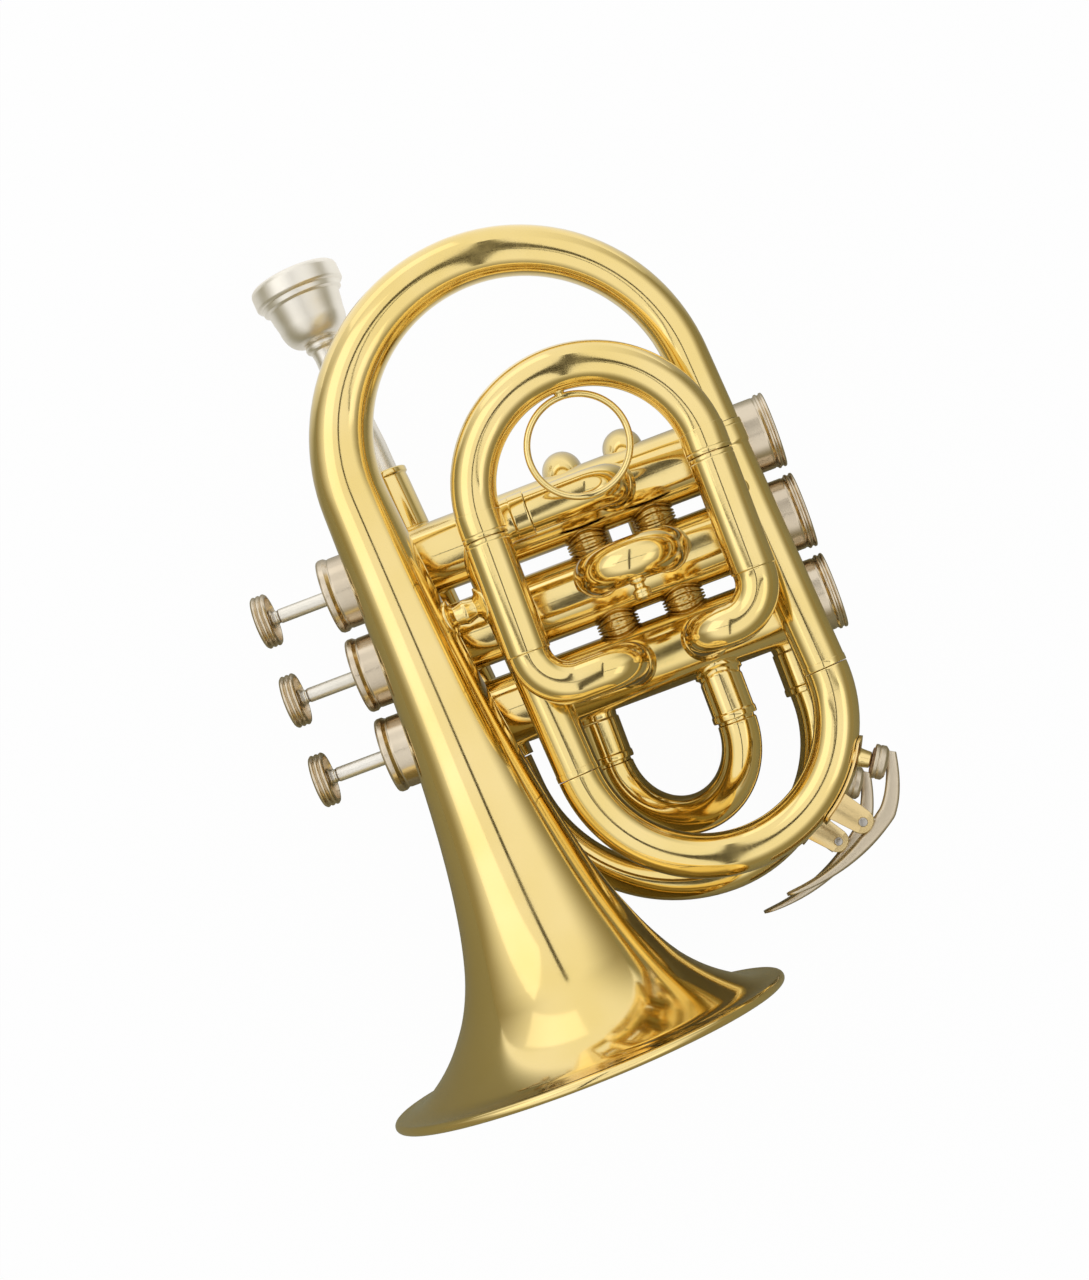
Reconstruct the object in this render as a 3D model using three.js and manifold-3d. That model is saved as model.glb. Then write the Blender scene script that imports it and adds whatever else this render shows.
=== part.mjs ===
// A pocket trumpet lying on its right-hand side, as it rests on a table.
// X runs forward along the bell, Y from the finger buttons to the bottom caps, Z up off the table.
// Lengths are in millimetres. The valve axes lie in the plane Z = 0 until the last lines set the origin.

import * as THREE from 'three';
import { mergeVertices } from 'three/addons/utils/BufferGeometryUtils.js';
import Module from 'manifold-3d';

const wasm = await Module();
wasm.setup();

// Fits
const slide_clearance = 0.3;
const seat_gap = 0.3;
const overrun = 4;
const weld_distance = 0.0001;

// Roundness
const tube_sides = 10;
const casing_sides = 16;
const port_sides = 8;
const bell_sides = 20;
const flare_rings = 11;
const flare_ring_power = 2.2;
const bend_sagitta = 0.7;
const least_ring_gap = 0.7;
const widest_bend_step = THREE.MathUtils.degToRad(30);

// Tubing
const sleeve_radius = 6.2;
const sleeve_wall = 0.6;
const elbow_radius = 5.8;
const elbow_wall = 0.7;
const slide_wall = 0.6;
const joint_overlap = 3;
const collar_height = 0.5;
const collar_length = 1.8;
const ferrule_length = 7;
const flange_height = 2.2;
const flange_width = 1.1;

// Valve group
const valve_pitch = 24.2;
const valve_travel = 16;
const casing_radius = 10.2;
const casing_bore = 8.6;
const neck_radius = 9.5;
const top_face = -59.4;
const bottom_face = 76;
const upper_port = 15.5;
const lower_port = 35.3;
const port_radius = 4.4;

// Caps that screw over the ends of the casings
const cap_skirt_radius = 10.6;
const cap_ring_radius = 11;
const cap_ring_height = 2.4;
const cap_face_thickness = 1.6;
const top_cap_height = 12.4;
const bottom_cap_height = 12;
const vent_radius = 1.6;

// Pistons, stems and finger buttons
const piston_clearance = 0.3;
const piston_end_margin = 9;
const piston_top_margin = 8;
const barrel_wall = 1;
const stem_radius = 2.1;
const button_radius = 7.8;
const button_height = 4.2;
const button_ridges = 3;
const button_ridge_depth = 0.45;
const button_hollow = 1.8;
const button_lift = 1.4;
const button_wall = 1;

// Valve springs
const spring_radius = 5.2;
const spring_wire = 0.5;
const spring_turns = 5;
const spring_sides = 4;
const spring_steps = 6;
const spring_seat_depth = 3;

// Bell and the loop of tubing that feeds it, in one plane beside the valves
const loop_level = 24;
const loop_tilt = THREE.MathUtils.degToRad(3.3);
const bell_across = -37.3;
const side_across = 61.8;
const return_across = -10.8;
const bell_rim_at = 117.8;
const bell_rim_drop = 1;
const flare_corner_at = 93;
const flare_bend_radius = 400;
const bell_rim_radius = 56.5;
const bell_wall = 0.8;
const bell_bead_radius = 1.3;
const bell_bead_degrees = [190, 140, 90, 40, -10];
const flare_offset = 14;
const flare_exponent = 0.7;
const rear_bow_at = -45.6;
const rear_joint_at = -24.5;
const front_bow_at = 47.3;
const return_bend_radius = 10;
const return_joint_y = 4;
const return_port = 27.4;
const return_drop_radius = 7;

// Mouthpiece, its receiver, the leadpipe and its bow, behind the valves
const mouthpiece_rim_radius = 13.65;
const mouthpiece_length = 87;
const shank_stop = 2.65;
const lead_level = -18.85;
const lead_axis_y = -30.6;
const lead_tilt = THREE.MathUtils.degToRad(4.4);
const lead_radius = 5.4;
const lead_start_radius = 5;
const lead_wall = 0.6;
const lead_joint_x = 38;
const lead_bow_x = 90.1;
const lead_bow_radius = 39.8;
const receiver_mouth_x = -54.6;
const receiver_end_x = -30;
const receiver_radius = 6.6;
const shank_radius = 4.8;
const shank_wall = 1;
const inlet_engaged = 7;

// Main tuning slide
const inlet_y = 59.6;
const tuning_upper_y = -0.6;
const tuning_lower_y = 37.2;
const tuning_mouth_x = 48.5;
const tuning_sleeve_x = 36;
const tuning_cross_radius = 11.8;
const tuning_engaged = 9;
const tuning_stand = 0.8;

// Third valve slide
const third_level = 38;
const third_upper_y = -8.5;
const third_lower_y = 55.3;
const third_mouth_x = -20;
const third_sleeve_x = 12.5;
const third_bow_x = -24.4;
const third_drop_radius = 7.2;
const third_engaged = 26;
const ring_radius = 13.8;
const ring_wire = 0.95;
const ring_foot_height = 1;
const ring_foot_radius = 2;
const ring_segments = 18;
const ring_sides = 6;

// Second valve slide
const second_x = -2;
const second_mouth_level = 19;
const second_engaged = 7;
const second_stand = 0.5;
const knob_radius = 2.6;
const knob_neck_radius = 1.5;
const knob_length = 6;
const knob_swell_share = 0.6;
const knob_edge_share = 0.85;

// First valve slide, behind the valves
const first_lower_port = 34;
const first_leg_x = -35;
const first_bend_radius = 7;
const first_mouth_x = -10;
const first_sleeve_x = -25;
const first_bow_x = -9;
const first_engaged = 11;

// Braces
const brace_foot_radius = 4.4;
const brace_neck_radius = 2.2;
const brace_foot_height = 1.6;
const spacer_radius = 3.4;
const bell_brace_at = -6;
const side_brace_x = -9.5;

// Water keys, in angles round their bow from the forward direction
const key_pivot_angle = THREE.MathUtils.degToRad(37.8);
const key_crest_angle = THREE.MathUtils.degToRad(46.5);
const key_cup_angle = THREE.MathUtils.degToRad(57);
const key_heel_angle = THREE.MathUtils.degToRad(61);
const key_tip_angle = THREE.MathUtils.degToRad(5.7);
const key_pivot_height = 8.1;
const key_crest_height = 14.6;
const key_arm_height = 14.4;
const key_cup_back_height = 10.2;
const key_tip_height = 9.7;
const key_arm_thickness = 4.4;
const key_heel_thickness = 3;
const key_tip_thickness = 0.9;
const key_arm_width = 3.2;
const key_touch_width = 7;
const key_touch_share = 0.8;
const key_outline_steps = 6;
const key_ear_radius = 2.5;
const key_lug_thickness = 1;
const key_lug_foot = 3.8;
const key_plate_start_angle = THREE.MathUtils.degToRad(30);
const key_plate_end_angle = THREE.MathUtils.degToRad(65);
const key_plate_thickness = 1;
const key_plate_width = 6.6;
const key_pin_radius = 0.9;
const key_pin_overhang = 0.6;
const nipple_radius = 2.6;
const nipple_height = 3.8;
const drain_radius = 1.3;
const cork_radius = 3.6;
const cork_height = 3;
const cork_stand = 0.5;
const cup_wall = 0.8;

// Sizes that follow from those above
const sleeve_bore = sleeve_radius - sleeve_wall;
const elbow_bore = elbow_radius - elbow_wall;
const slide_radius = sleeve_bore - slide_clearance;
const slide_bore = slide_radius - slide_wall;
const mouthpiece_rim_x = receiver_end_x - shank_stop - mouthpiece_length * Math.cos(lead_tilt);
const rest_level = lead_level - mouthpiece_rim_radius;
const first_level = rest_level + sleeve_radius + collar_height;
const piston_radius = casing_bore - piston_clearance;
const stem_hole = stem_radius + seat_gap;
const cap_bore = neck_radius + seat_gap;
const neck_top = top_face + cap_face_thickness + seat_gap;
const neck_bottom = bottom_face - cap_face_thickness - seat_gap;
const rear_bow_radius = (side_across - bell_across) / 2;
const front_bow_radius = (side_across - return_across) / 2;
const third_bow_radius = (third_lower_y - third_upper_y) / 2;
const second_bow_radius = (lower_port - upper_port) / 2;
const third_bend_radius = third_lower_y - tuning_lower_y - third_drop_radius;

const lacquered_brass = { color: 0xd9b45c, metalness: 1, roughness: 0.18 };
const raw_brass = { color: 0xc39a42, metalness: 1, roughness: 0.32 };
const nickel = { color: 0xcfc2b0, metalness: 1, roughness: 0.25 };
const silver = { color: 0xe6e4df, metalness: 1, roughness: 0.15 };
const steel = { color: 0x9da0a3, metalness: 1, roughness: 0.35 };
const cork = { color: 0x6b4d2b, metalness: 0, roughness: 0.9 };

const trumpet = new THREE.Group();

function addPiece(name, geometry, finish, parent = trumpet) {
  const mesh = new THREE.Mesh(geometry, new THREE.MeshStandardMaterial(finish));
  mesh.name = name;
  parent.add(mesh);
}

function point(x, y, z) {
  return new THREE.Vector3(x, y, z);
}

const forward = point(1, 0, 0);
const backward = point(-1, 0, 0);
const to_caps = point(0, 1, 0);
const outward = point(0, 0, 1);

// Centre lines

// A straight run of a centre line
class Run {
  constructor(start, end) {
    this.start = start;
    this.heading = end.clone().sub(start).normalize();
    this.length = start.distanceTo(end);
    this.steps = 1;
  }

  pointAt(share) {
    return this.start.clone().addScaledVector(this.heading, share * this.length);
  }

  tangentAt() {
    return this.heading.clone();
  }
}

// A round bend of a centre line, tangent to what comes before and after it
class Bend {
  constructor(start, arriving, leaving, radius, turn) {
    const inward = leaving.clone().addScaledVector(arriving, -arriving.dot(leaving)).normalize();
    this.axis = arriving.clone().cross(inward);
    this.centre = start.clone().addScaledVector(inward, radius);
    this.spoke = start.clone().sub(this.centre);
    this.arriving = arriving;
    this.turn = turn;
    this.length = radius * turn;
    const step = Math.min(widest_bend_step, 2 * Math.acos(1 - Math.min(1, bend_sagitta / radius)));
    this.steps = Math.ceil(turn / step);
  }

  pointAt(share) {
    return this.spoke.clone().applyAxisAngle(this.axis, share * this.turn).add(this.centre);
  }

  tangentAt(share) {
    return this.arriving.clone().applyAxisAngle(this.axis, share * this.turn);
  }
}

// A tube's centre line through corner points, with a bend of its own radius at each corner
class Route extends THREE.Curve {
  constructor(corners, bend_radii = []) {
    super();
    this.parts = [];
    let start = corners[0];
    bend_radii.forEach((radius, i) => {
      const arriving = corners[i + 1].clone().sub(corners[i]).normalize();
      const leaving = corners[i + 2].clone().sub(corners[i + 1]).normalize();
      const turn = arriving.angleTo(leaving);
      const setback = radius * Math.tan(turn / 2);
      const bend_start = corners[i + 1].clone().addScaledVector(arriving, -setback);
      this.addRun(start, bend_start);
      this.parts.push(new Bend(bend_start, arriving, leaving, radius, turn));
      start = corners[i + 1].clone().addScaledVector(leaving, setback);
    });
    this.addRun(start, corners.at(-1));
    this.steps = this.parts.reduce((sum, part) => sum + part.steps, 0);
    this.total = this.parts.reduce((sum, part) => sum + part.length, 0);
  }

  // A half-turn bow leaves no run between its two quarters
  addRun(start, end) {
    if (start.distanceTo(end) > weld_distance) {
      this.parts.push(new Run(start, end));
    }
  }

  // The part, and the share of it, at which an amount of a size summed over the parts is reached
  locate(amount, size) {
    let left = amount;
    for (const part of this.parts.slice(0, -1)) {
      if (left < part[size]) {
        return [part, left / part[size]];
      }
      left -= part[size];
    }
    return [this.parts.at(-1), left / this.parts.at(-1)[size]];
  }

  getUtoTmapping(share) {
    return share;
  }

  getPoint(share) {
    const [part, inside] = this.locate(share * this.steps, 'steps');
    return part.pointAt(inside);
  }

  getTangent(share) {
    const [part, inside] = this.locate(share * this.steps, 'steps');
    return part.tangentAt(inside);
  }

  // Distances along the line at which its parts need a ring
  ringDistances() {
    const distances = [];
    let covered = 0;
    for (const part of this.parts) {
      const spacing = part.length / part.steps;
      for (let step = 0; step < part.steps; step++) {
        distances.push(covered + step * spacing);
      }
      covered += part.length;
    }
    return distances;
  }
}

// Two level legs joined by a half-turn bow whose centre lies at a distance along the legs' heading
function bowRoute(first_end, second_end, heading, bow_at) {
  const legs = [first_end, second_end];
  const span = second_end.clone().sub(first_end);
  span.addScaledVector(heading, -span.dot(heading));
  const radius = span.length() / 2;
  const corners = legs.map((end) => end.clone().addScaledVector(heading, bow_at + radius - end.dot(heading)));
  return new Route([first_end, ...corners, second_end], [radius, radius]);
}

// Solids, cuts and joins

function asSolid(geometry) {
  const bare = geometry.clone();
  bare.deleteAttribute('normal');
  bare.deleteAttribute('uv');
  const merged = mergeVertices(bare, weld_distance);
  const corners = [];
  for (let i = 0; i < merged.index.count; i += 3) {
    const [a, b, c] = [merged.index.getX(i), merged.index.getX(i + 1), merged.index.getX(i + 2)];
    if (a !== b && b !== c && c !== a) {
      corners.push(a, b, c);
    }
  }
  return new wasm.Manifold(new wasm.Mesh({
    numProp: 3,
    vertProperties: new Float32Array(merged.attributes.position.array),
    triVerts: new Uint32Array(corners),
  }));
}

function asGeometry(solid) {
  const mesh = solid.getMesh();
  const geometry = new THREE.BufferGeometry();
  geometry.setAttribute('position', new THREE.BufferAttribute(new Float32Array(mesh.vertProperties), 3));
  geometry.setIndex(new THREE.BufferAttribute(new Uint32Array(mesh.triVerts), 1));
  geometry.computeVertexNormals();
  return geometry;
}

function joined(first, ...others) {
  return others.reduce((sum, solid) => sum.add(solid), first);
}

function cut(solid, ...tools) {
  return tools.reduce((rest, tool) => rest.subtract(tool), solid);
}

// A solid of revolution about Y from a closed outline of radius and height
function turned(outline, sides) {
  const points = outline.map(([radius, height]) => new THREE.Vector2(radius, height));
  if (THREE.ShapeUtils.isClockWise(points)) {
    points.reverse();
  }
  points.push(points[0].clone());
  return new THREE.LatheGeometry(points, sides);
}

// Turns a shape made about Y so that Y lies along a heading, and sets it at a place
function placed(geometry, place, heading) {
  const turn = new THREE.Quaternion().setFromUnitVectors(to_caps, heading.clone().normalize());
  return geometry.applyQuaternion(turn).translate(place.x, place.y, place.z);
}

// A round bar between two points
function rod(start, end, radius, sides = tube_sides) {
  const bar = new THREE.CylinderGeometry(radius, radius, start.distanceTo(end), sides);
  return asSolid(placed(bar, start.clone().lerp(end, 0.5), end.clone().sub(start)));
}

// A tube of one radius and bore along a route, or a bent bar where it has no bore
function tube(route, radius, bore = 0) {
  const section = new THREE.Shape().absarc(0, 0, radius, 0, 2 * Math.PI);
  if (bore > 0) {
    section.holes.push(new THREE.Path().absarc(0, 0, bore, 0, 2 * Math.PI, true));
  }
  return asSolid(new THREE.ExtrudeGeometry(section, {
    steps: route.steps,
    extrudePath: route,
    curveSegments: tube_sides / 2,
  }));
}

// A raised ring round a tube, from a place on its centre line along a heading
function collar(place, heading, radius, length = collar_length, height = collar_height) {
  const inside = radius - sleeve_wall / 2;
  const outline = [[inside, 0], [radius + height, 0], [radius + height, length], [inside, length]];
  return asSolid(placed(turned(outline, tube_sides), place, heading));
}

// A flange that spreads a tube's end over the casing or tube that it is soldered to
function flange(foot, heading, radius, seat_radius) {
  const sunk = foot.clone().addScaledVector(heading, seat_radius - overrun);
  return collar(sunk, heading, radius, overrun + flange_height, flange_width);
}

// An outline of distance along a flat route and radius about it, swept round the route
function bentLathe(route, outline, sides) {
  const loop = outline.map(([distance, radius]) => new THREE.Vector2(distance, radius));
  if (!THREE.ShapeUtils.isClockWise(loop)) {
    loop.reverse();
  }
  const rings = [];
  loop.forEach((here, i) => {
    const next = loop[(i + 1) % loop.length];
    const low = Math.min(here.x, next.x) + least_ring_gap;
    const high = Math.max(here.x, next.x) - least_ring_gap;
    const between = route.ringDistances().filter((distance) => distance > low && distance < high);
    if (next.x < here.x) {
      between.reverse();
    }
    rings.push(here);
    for (const distance of between) {
      rings.push(here.clone().lerp(next, (distance - here.x) / (next.x - here.x)));
    }
  });
  const places = [];
  for (const ring of rings) {
    const [part, share] = route.locate(ring.x, 'length');
    const sideways = outward.clone().cross(part.tangentAt(share));
    for (let i = 0; i < sides; i++) {
      const angle = (i * 2 * Math.PI) / sides;
      const spot = part.pointAt(share).addScaledVector(sideways, ring.y * Math.cos(angle));
      spot.addScaledVector(outward, ring.y * Math.sin(angle));
      places.push(spot.x, spot.y, spot.z);
    }
  }
  const corners = [];
  for (let ring = 0; ring < rings.length; ring++) {
    for (let i = 0; i < sides; i++) {
      const [here, there] = [ring * sides, ((ring + 1) % rings.length) * sides];
      const j = (i + 1) % sides;
      corners.push(here + i, here + j, there + j, here + i, there + j, there + i);
    }
  }
  const geometry = new THREE.BufferGeometry();
  geometry.setAttribute('position', new THREE.Float32BufferAttribute(places, 3));
  geometry.setIndex(corners);
  geometry.computeVertexNormals();
  return geometry;
}

function valveX(valve) {
  return (valve - 2) * valve_pitch;
}

// The room that a casing takes, with the gap that a piece soldered to it keeps
function casingSpace(valve) {
  const [top, bottom] = [point(valveX(valve), top_face, 0), point(valveX(valve), bottom_face, 0)];
  return rod(top, bottom, casing_radius + seat_gap, casing_sides);
}

// Valves

// Heights of the ports in each casing, by the side they open to
const ports = {
  1: [[forward, lower_port], [outward, return_port], [backward, upper_port], [backward, first_lower_port]],
  2: [[forward, lower_port], [backward, lower_port], [outward, upper_port], [outward, lower_port]],
  3: [[forward, tuning_lower_y], [backward, lower_port], [outward, upper_port], [outward, tuning_lower_y]],
};

// The slide of the second valve stands a little behind its casing's axis
function portShift(valve, side) {
  return valve === 2 && side === outward ? second_x : 0;
}

function casing(valve) {
  const [body_top, body_bottom] = [top_face + top_cap_height, bottom_face - bottom_cap_height];
  const shell = asSolid(turned([
    [casing_bore, neck_top], [neck_radius, neck_top],
    [neck_radius, body_top + seat_gap], [casing_radius, body_top + seat_gap],
    [casing_radius, body_bottom - seat_gap], [neck_radius, body_bottom - seat_gap],
    [neck_radius, neck_bottom], [casing_bore, neck_bottom],
  ], casing_sides));
  const holes = ports[valve].map(([side, height]) => {
    const axis = point(portShift(valve, side), height, 0);
    return rod(axis, axis.clone().addScaledVector(side, casing_radius + overrun), port_radius, port_sides);
  });
  return asGeometry(cut(shell, ...holes));
}

// Passages of each piston as pairs of a side and a height. The first is open with the piston up.
// The other two line up with the slide's ports once the piston is down, so they lie higher by its travel.
const passages = {
  1: [
    [forward, lower_port, outward, return_port],
    [forward, lower_port - valve_travel, backward, first_lower_port - valve_travel],
    [backward, upper_port - valve_travel, outward, return_port - valve_travel],
  ],
  2: [
    [forward, lower_port, backward, lower_port],
    [forward, lower_port - valve_travel, outward, lower_port - valve_travel],
    [outward, upper_port - valve_travel, backward, lower_port - valve_travel],
  ],
  3: [
    [forward, tuning_lower_y, backward, lower_port],
    [forward, tuning_lower_y - valve_travel, outward, tuning_lower_y - valve_travel],
    [outward, upper_port - valve_travel, backward, lower_port - valve_travel],
  ],
};

const piston_bottom = tuning_lower_y + piston_end_margin;
const piston_body_top = upper_port - valve_travel - piston_top_margin;
const piston_top = neck_top + seat_gap;
const spring_room = spring_radius + spring_wire + seat_gap;

function passageCut(start_side, start_height, end_side, end_height) {
  const start = start_side.clone().multiplyScalar(piston_radius).setY(start_height);
  const end = end_side.clone().multiplyScalar(piston_radius).setY(end_height);
  const heading = end.clone().sub(start).normalize();
  start.addScaledVector(heading, -overrun);
  end.addScaledVector(heading, overrun);
  return rod(start, end, port_radius, port_sides);
}

function piston(valve) {
  const seat_floor = piston_bottom - spring_seat_depth;
  const barrel_bore = piston_radius - barrel_wall;
  const blank = asSolid(turned([
    [stem_hole, piston_top], [piston_radius, piston_top], [piston_radius, piston_bottom],
    [spring_room, piston_bottom], [spring_room, seat_floor],
    [0, seat_floor], [0, piston_body_top],
    [barrel_bore, piston_body_top], [barrel_bore, piston_top + barrel_wall],
    [stem_hole, piston_top + barrel_wall],
  ], casing_sides));
  return asGeometry(cut(blank, ...passages[valve].map((ends) => passageCut(...ends))));
}

// A stem joins each piston to a ridged finger button, hollow underneath round a boss
const button_under = top_face - valve_travel - button_lift;
const button_top = button_under - button_height;
const boss_radius = stem_hole + button_wall;

function fingerButton() {
  const hollow_roof = button_under - button_hollow;
  const groove_radius = button_radius - button_ridge_depth;
  const ridge = button_height / button_ridges;
  const outline = [[0, button_top]];
  for (let i = 0; i < button_ridges; i++) {
    outline.push([groove_radius, button_top + i * ridge]);
    outline.push([button_radius, button_top + (i + 0.5) * ridge]);
  }
  outline.push([groove_radius, button_under]);
  outline.push([groove_radius - button_wall, hollow_roof]);
  outline.push([boss_radius, hollow_roof]);
  outline.push([boss_radius, button_under]);
  outline.push([stem_hole, button_under]);
  outline.push([stem_hole, hollow_roof]);
  outline.push([0, hollow_roof]);
  return turned(outline, casing_sides);
}

function stem() {
  const start = point(0, button_under - button_hollow + seat_gap, 0);
  return asGeometry(rod(start, point(0, piston_top + barrel_wall, 0), stem_radius));
}

// A cap from its face at height zero down to the end of its skirt
function cap(hole, height) {
  return turned([
    [hole, 0], [cap_ring_radius, 0], [cap_ring_radius, cap_ring_height], [cap_skirt_radius, cap_ring_height],
    [cap_skirt_radius, height], [cap_bore, height],
    [cap_bore, cap_face_thickness], [hole, cap_face_thickness],
  ], casing_sides);
}

// A coil about Y between two heights
class Helix extends THREE.Curve {
  constructor(start, end, radius, turns) {
    super();
    Object.assign(this, { start, end, radius, turns });
  }

  getUtoTmapping(share) {
    return share;
  }

  getPoint(share) {
    const angle = share * this.turns * 2 * Math.PI;
    const height = this.start + share * (this.end - this.start);
    return point(this.radius * Math.cos(angle), height, this.radius * Math.sin(angle));
  }
}

// The spring stands on the bottom cap and holds the piston up
function valveSpring() {
  const start = piston_bottom - spring_seat_depth + seat_gap + spring_wire;
  const end = bottom_face - cap_face_thickness - seat_gap - spring_wire;
  const section = new THREE.Shape().absarc(0, 0, spring_wire, 0, 2 * Math.PI);
  return new THREE.ExtrudeGeometry(section, {
    steps: spring_turns * spring_steps,
    extrudePath: new Helix(start, end, spring_radius, spring_turns),
    curveSegments: spring_sides / 2,
  });
}

for (const valve of [1, 2, 3]) {
  const group = new THREE.Group();
  group.position.x = valveX(valve);
  trumpet.add(group);
  addPiece(`valve_casing_${valve}`, casing(valve), lacquered_brass, group);
  addPiece(`piston_${valve}`, piston(valve), nickel, group);
  addPiece(`valve_spring_${valve}`, valveSpring(), steel, group);
  addPiece(`valve_stem_${valve}`, stem(), silver, group);
  addPiece(`finger_button_${valve}`, fingerButton(), nickel, group);
  addPiece(`top_cap_${valve}`, cap(stem_hole, top_cap_height).translate(0, top_face, 0), nickel, group);
  const bottom_cap = cap(vent_radius, bottom_cap_height).rotateX(Math.PI);
  addPiece(`bottom_cap_${valve}`, bottom_cap.translate(0, bottom_face, 0), nickel, group);
}

// A knuckle carries the air from casing to casing, and a solid stay above it keeps the casings apart
for (const valve of [1, 2]) {
  for (const [name, height, bore] of [['stay', upper_port, 0], ['knuckle', lower_port, port_radius]]) {
    const [start, end] = [point(valveX(valve), height, 0), point(valveX(valve + 1), height, 0)];
    const rib_start = start.clone().lerp(end, 0.5).addScaledVector(forward, -collar_length / 2);
    const rib = collar(rib_start, forward, sleeve_radius);
    const shell = joined(tube(new Route([start, end]), sleeve_radius, bore), rib);
    const post = cut(shell, casingSpace(valve), casingSpace(valve + 1));
    addPiece(`${name}_${valve}_${valve + 1}`, asGeometry(post), lacquered_brass);
  }
}

// Bell, side tube, front bow and return tube

const loop_heading = point(Math.cos(loop_tilt), Math.sin(loop_tilt), 0);
const loop_sideways = point(-Math.sin(loop_tilt), Math.cos(loop_tilt), 0);

// A place in the plane of the loop, along and across the bell
function inLoop(along, across) {
  const place = point(0, 0, loop_level);
  return place.addScaledVector(loop_heading, along).addScaledVector(loop_sideways, across);
}

function alongAt(x, across) {
  return (x + across * Math.sin(loop_tilt)) / Math.cos(loop_tilt);
}

const rear_apex_at = rear_bow_at - rear_bow_radius;
const bell_route = new Route([
  inLoop(bell_rim_at, bell_across - bell_rim_drop),
  inLoop(flare_corner_at, bell_across),
  inLoop(rear_apex_at, bell_across),
  inLoop(rear_apex_at, side_across),
  inLoop(rear_joint_at, side_across),
], [flare_bend_radius, rear_bow_radius, rear_bow_radius]);

// The flare and the long taper follow one law, down to the radius of the side tube
function hornRadius(distance) {
  const horn = bell_rim_radius * (flare_offset / (distance + flare_offset)) ** flare_exponent;
  return Math.max(horn, sleeve_radius);
}

function insideOfHorn(distance) {
  const slope = (hornRadius(distance + bell_wall) - hornRadius(distance)) / bell_wall;
  const steepness = Math.hypot(1, slope);
  return [distance + (bell_wall * slope) / steepness, hornRadius(distance) - bell_wall / steepness];
}

function bell() {
  const bead_level = bell_rim_radius - bell_bead_radius;
  const bead = bell_bead_degrees.map((degrees) => {
    const angle = THREE.MathUtils.degToRad(degrees);
    return [bell_bead_radius * (1 + Math.cos(angle)), bead_level + bell_bead_radius * Math.sin(angle)];
  });
  const shares = Array.from({ length: flare_rings }, (_, i) => ((i + 1) / flare_rings) ** flare_ring_power);
  const distances = shares.map((share) => share * bell_route.total).filter((d) => d > 2 * bell_bead_radius);
  const outside = distances.map((distance) => [distance, hornRadius(distance)]);
  return bentLathe(bell_route, [...bead, ...outside, ...distances.map(insideOfHorn).reverse()], bell_sides);
}

addPiece('bell', bell(), lacquered_brass);

const side_start = inLoop(rear_joint_at + seat_gap, side_across);
const side_end = inLoop(front_bow_at, side_across);
const side_tube = joined(
  tube(new Route([side_start, side_end]), sleeve_radius, sleeve_bore),
  collar(side_start, loop_heading, sleeve_radius, ferrule_length),
  collar(side_end, loop_heading.clone().negate(), sleeve_radius),
);
addPiece('bell_side_tube', asGeometry(side_tube), lacquered_brass);

const front_route = bowRoute(
  inLoop(front_bow_at + seat_gap, side_across),
  inLoop(front_bow_at + seat_gap, return_across),
  loop_heading,
  front_bow_at + seat_gap,
);
const return_corner = inLoop(alongAt(valveX(1), return_across), return_across);
const return_joint = point(valveX(1), return_joint_y, loop_level);
const return_route = new Route(
  [inLoop(front_bow_at, return_across), return_corner, return_joint],
  [return_bend_radius],
);
const return_tube = joined(
  tube(return_route, sleeve_radius, sleeve_bore),
  collar(inLoop(front_bow_at, return_across), loop_heading.clone().negate(), sleeve_radius),
  collar(return_joint, to_caps.clone().negate(), sleeve_radius),
);
addPiece('bell_return_tube', asGeometry(return_tube), lacquered_brass);

const elbow_foot = point(valveX(1), return_port, 0);
const elbow_route = new Route([
  point(valveX(1), return_joint_y + seat_gap, loop_level),
  point(valveX(1), return_port, loop_level),
  elbow_foot,
], [return_drop_radius]);
const return_elbow = joined(
  tube(elbow_route, elbow_radius, elbow_bore),
  flange(elbow_foot, outward, elbow_radius, casing_radius),
);
addPiece('return_elbow', asGeometry(cut(return_elbow, casingSpace(1))), lacquered_brass);

// Mouthpiece, receiver, leadpipe and leadpipe bow

const lead_heading = point(Math.cos(lead_tilt), Math.sin(lead_tilt), 0);

function leadPlace(x) {
  return point(x, lead_axis_y + x * Math.tan(lead_tilt), lead_level);
}

// Outline of the mouthpiece in shares of its length and of its rim's radius, from the rim along the outside
// to the end of the shank, and back along the backbore, throat and cup
const mouthpiece_outside_shares = [
  [0, 0.88], [0.012, 0.99], [0.03, 1], [0.07, 1], [0.078, 0.93], [0.09, 0.92], [0.1, 0.82],
  [0.16, 0.75], [0.24, 0.67], [0.268, 0.55], [0.283, 0.36], [0.3, 0.31],
];
const mouthpiece_inside_shares = [
  [0.27, 0.13], [0.13, 0.15], [0.1, 0.38], [0.05, 0.55], [0.01, 0.62], [0, 0.68],
];

function mouthpiece() {
  const scale = ([along, across]) => [across * mouthpiece_rim_radius, along * mouthpiece_length];
  const shank_bore = shank_radius - shank_wall;
  const shank_end = mouthpiece_length;
  const outline = [
    ...mouthpiece_outside_shares.map(scale),
    [shank_radius, receiver_mouth_x - mouthpiece_rim_x],
    [shank_radius, shank_end], [shank_bore, shank_end],
    ...mouthpiece_inside_shares.map(scale),
  ];
  return turned(outline, casing_sides);
}

addPiece('mouthpiece', placed(mouthpiece(), leadPlace(mouthpiece_rim_x), lead_heading), silver);

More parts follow.
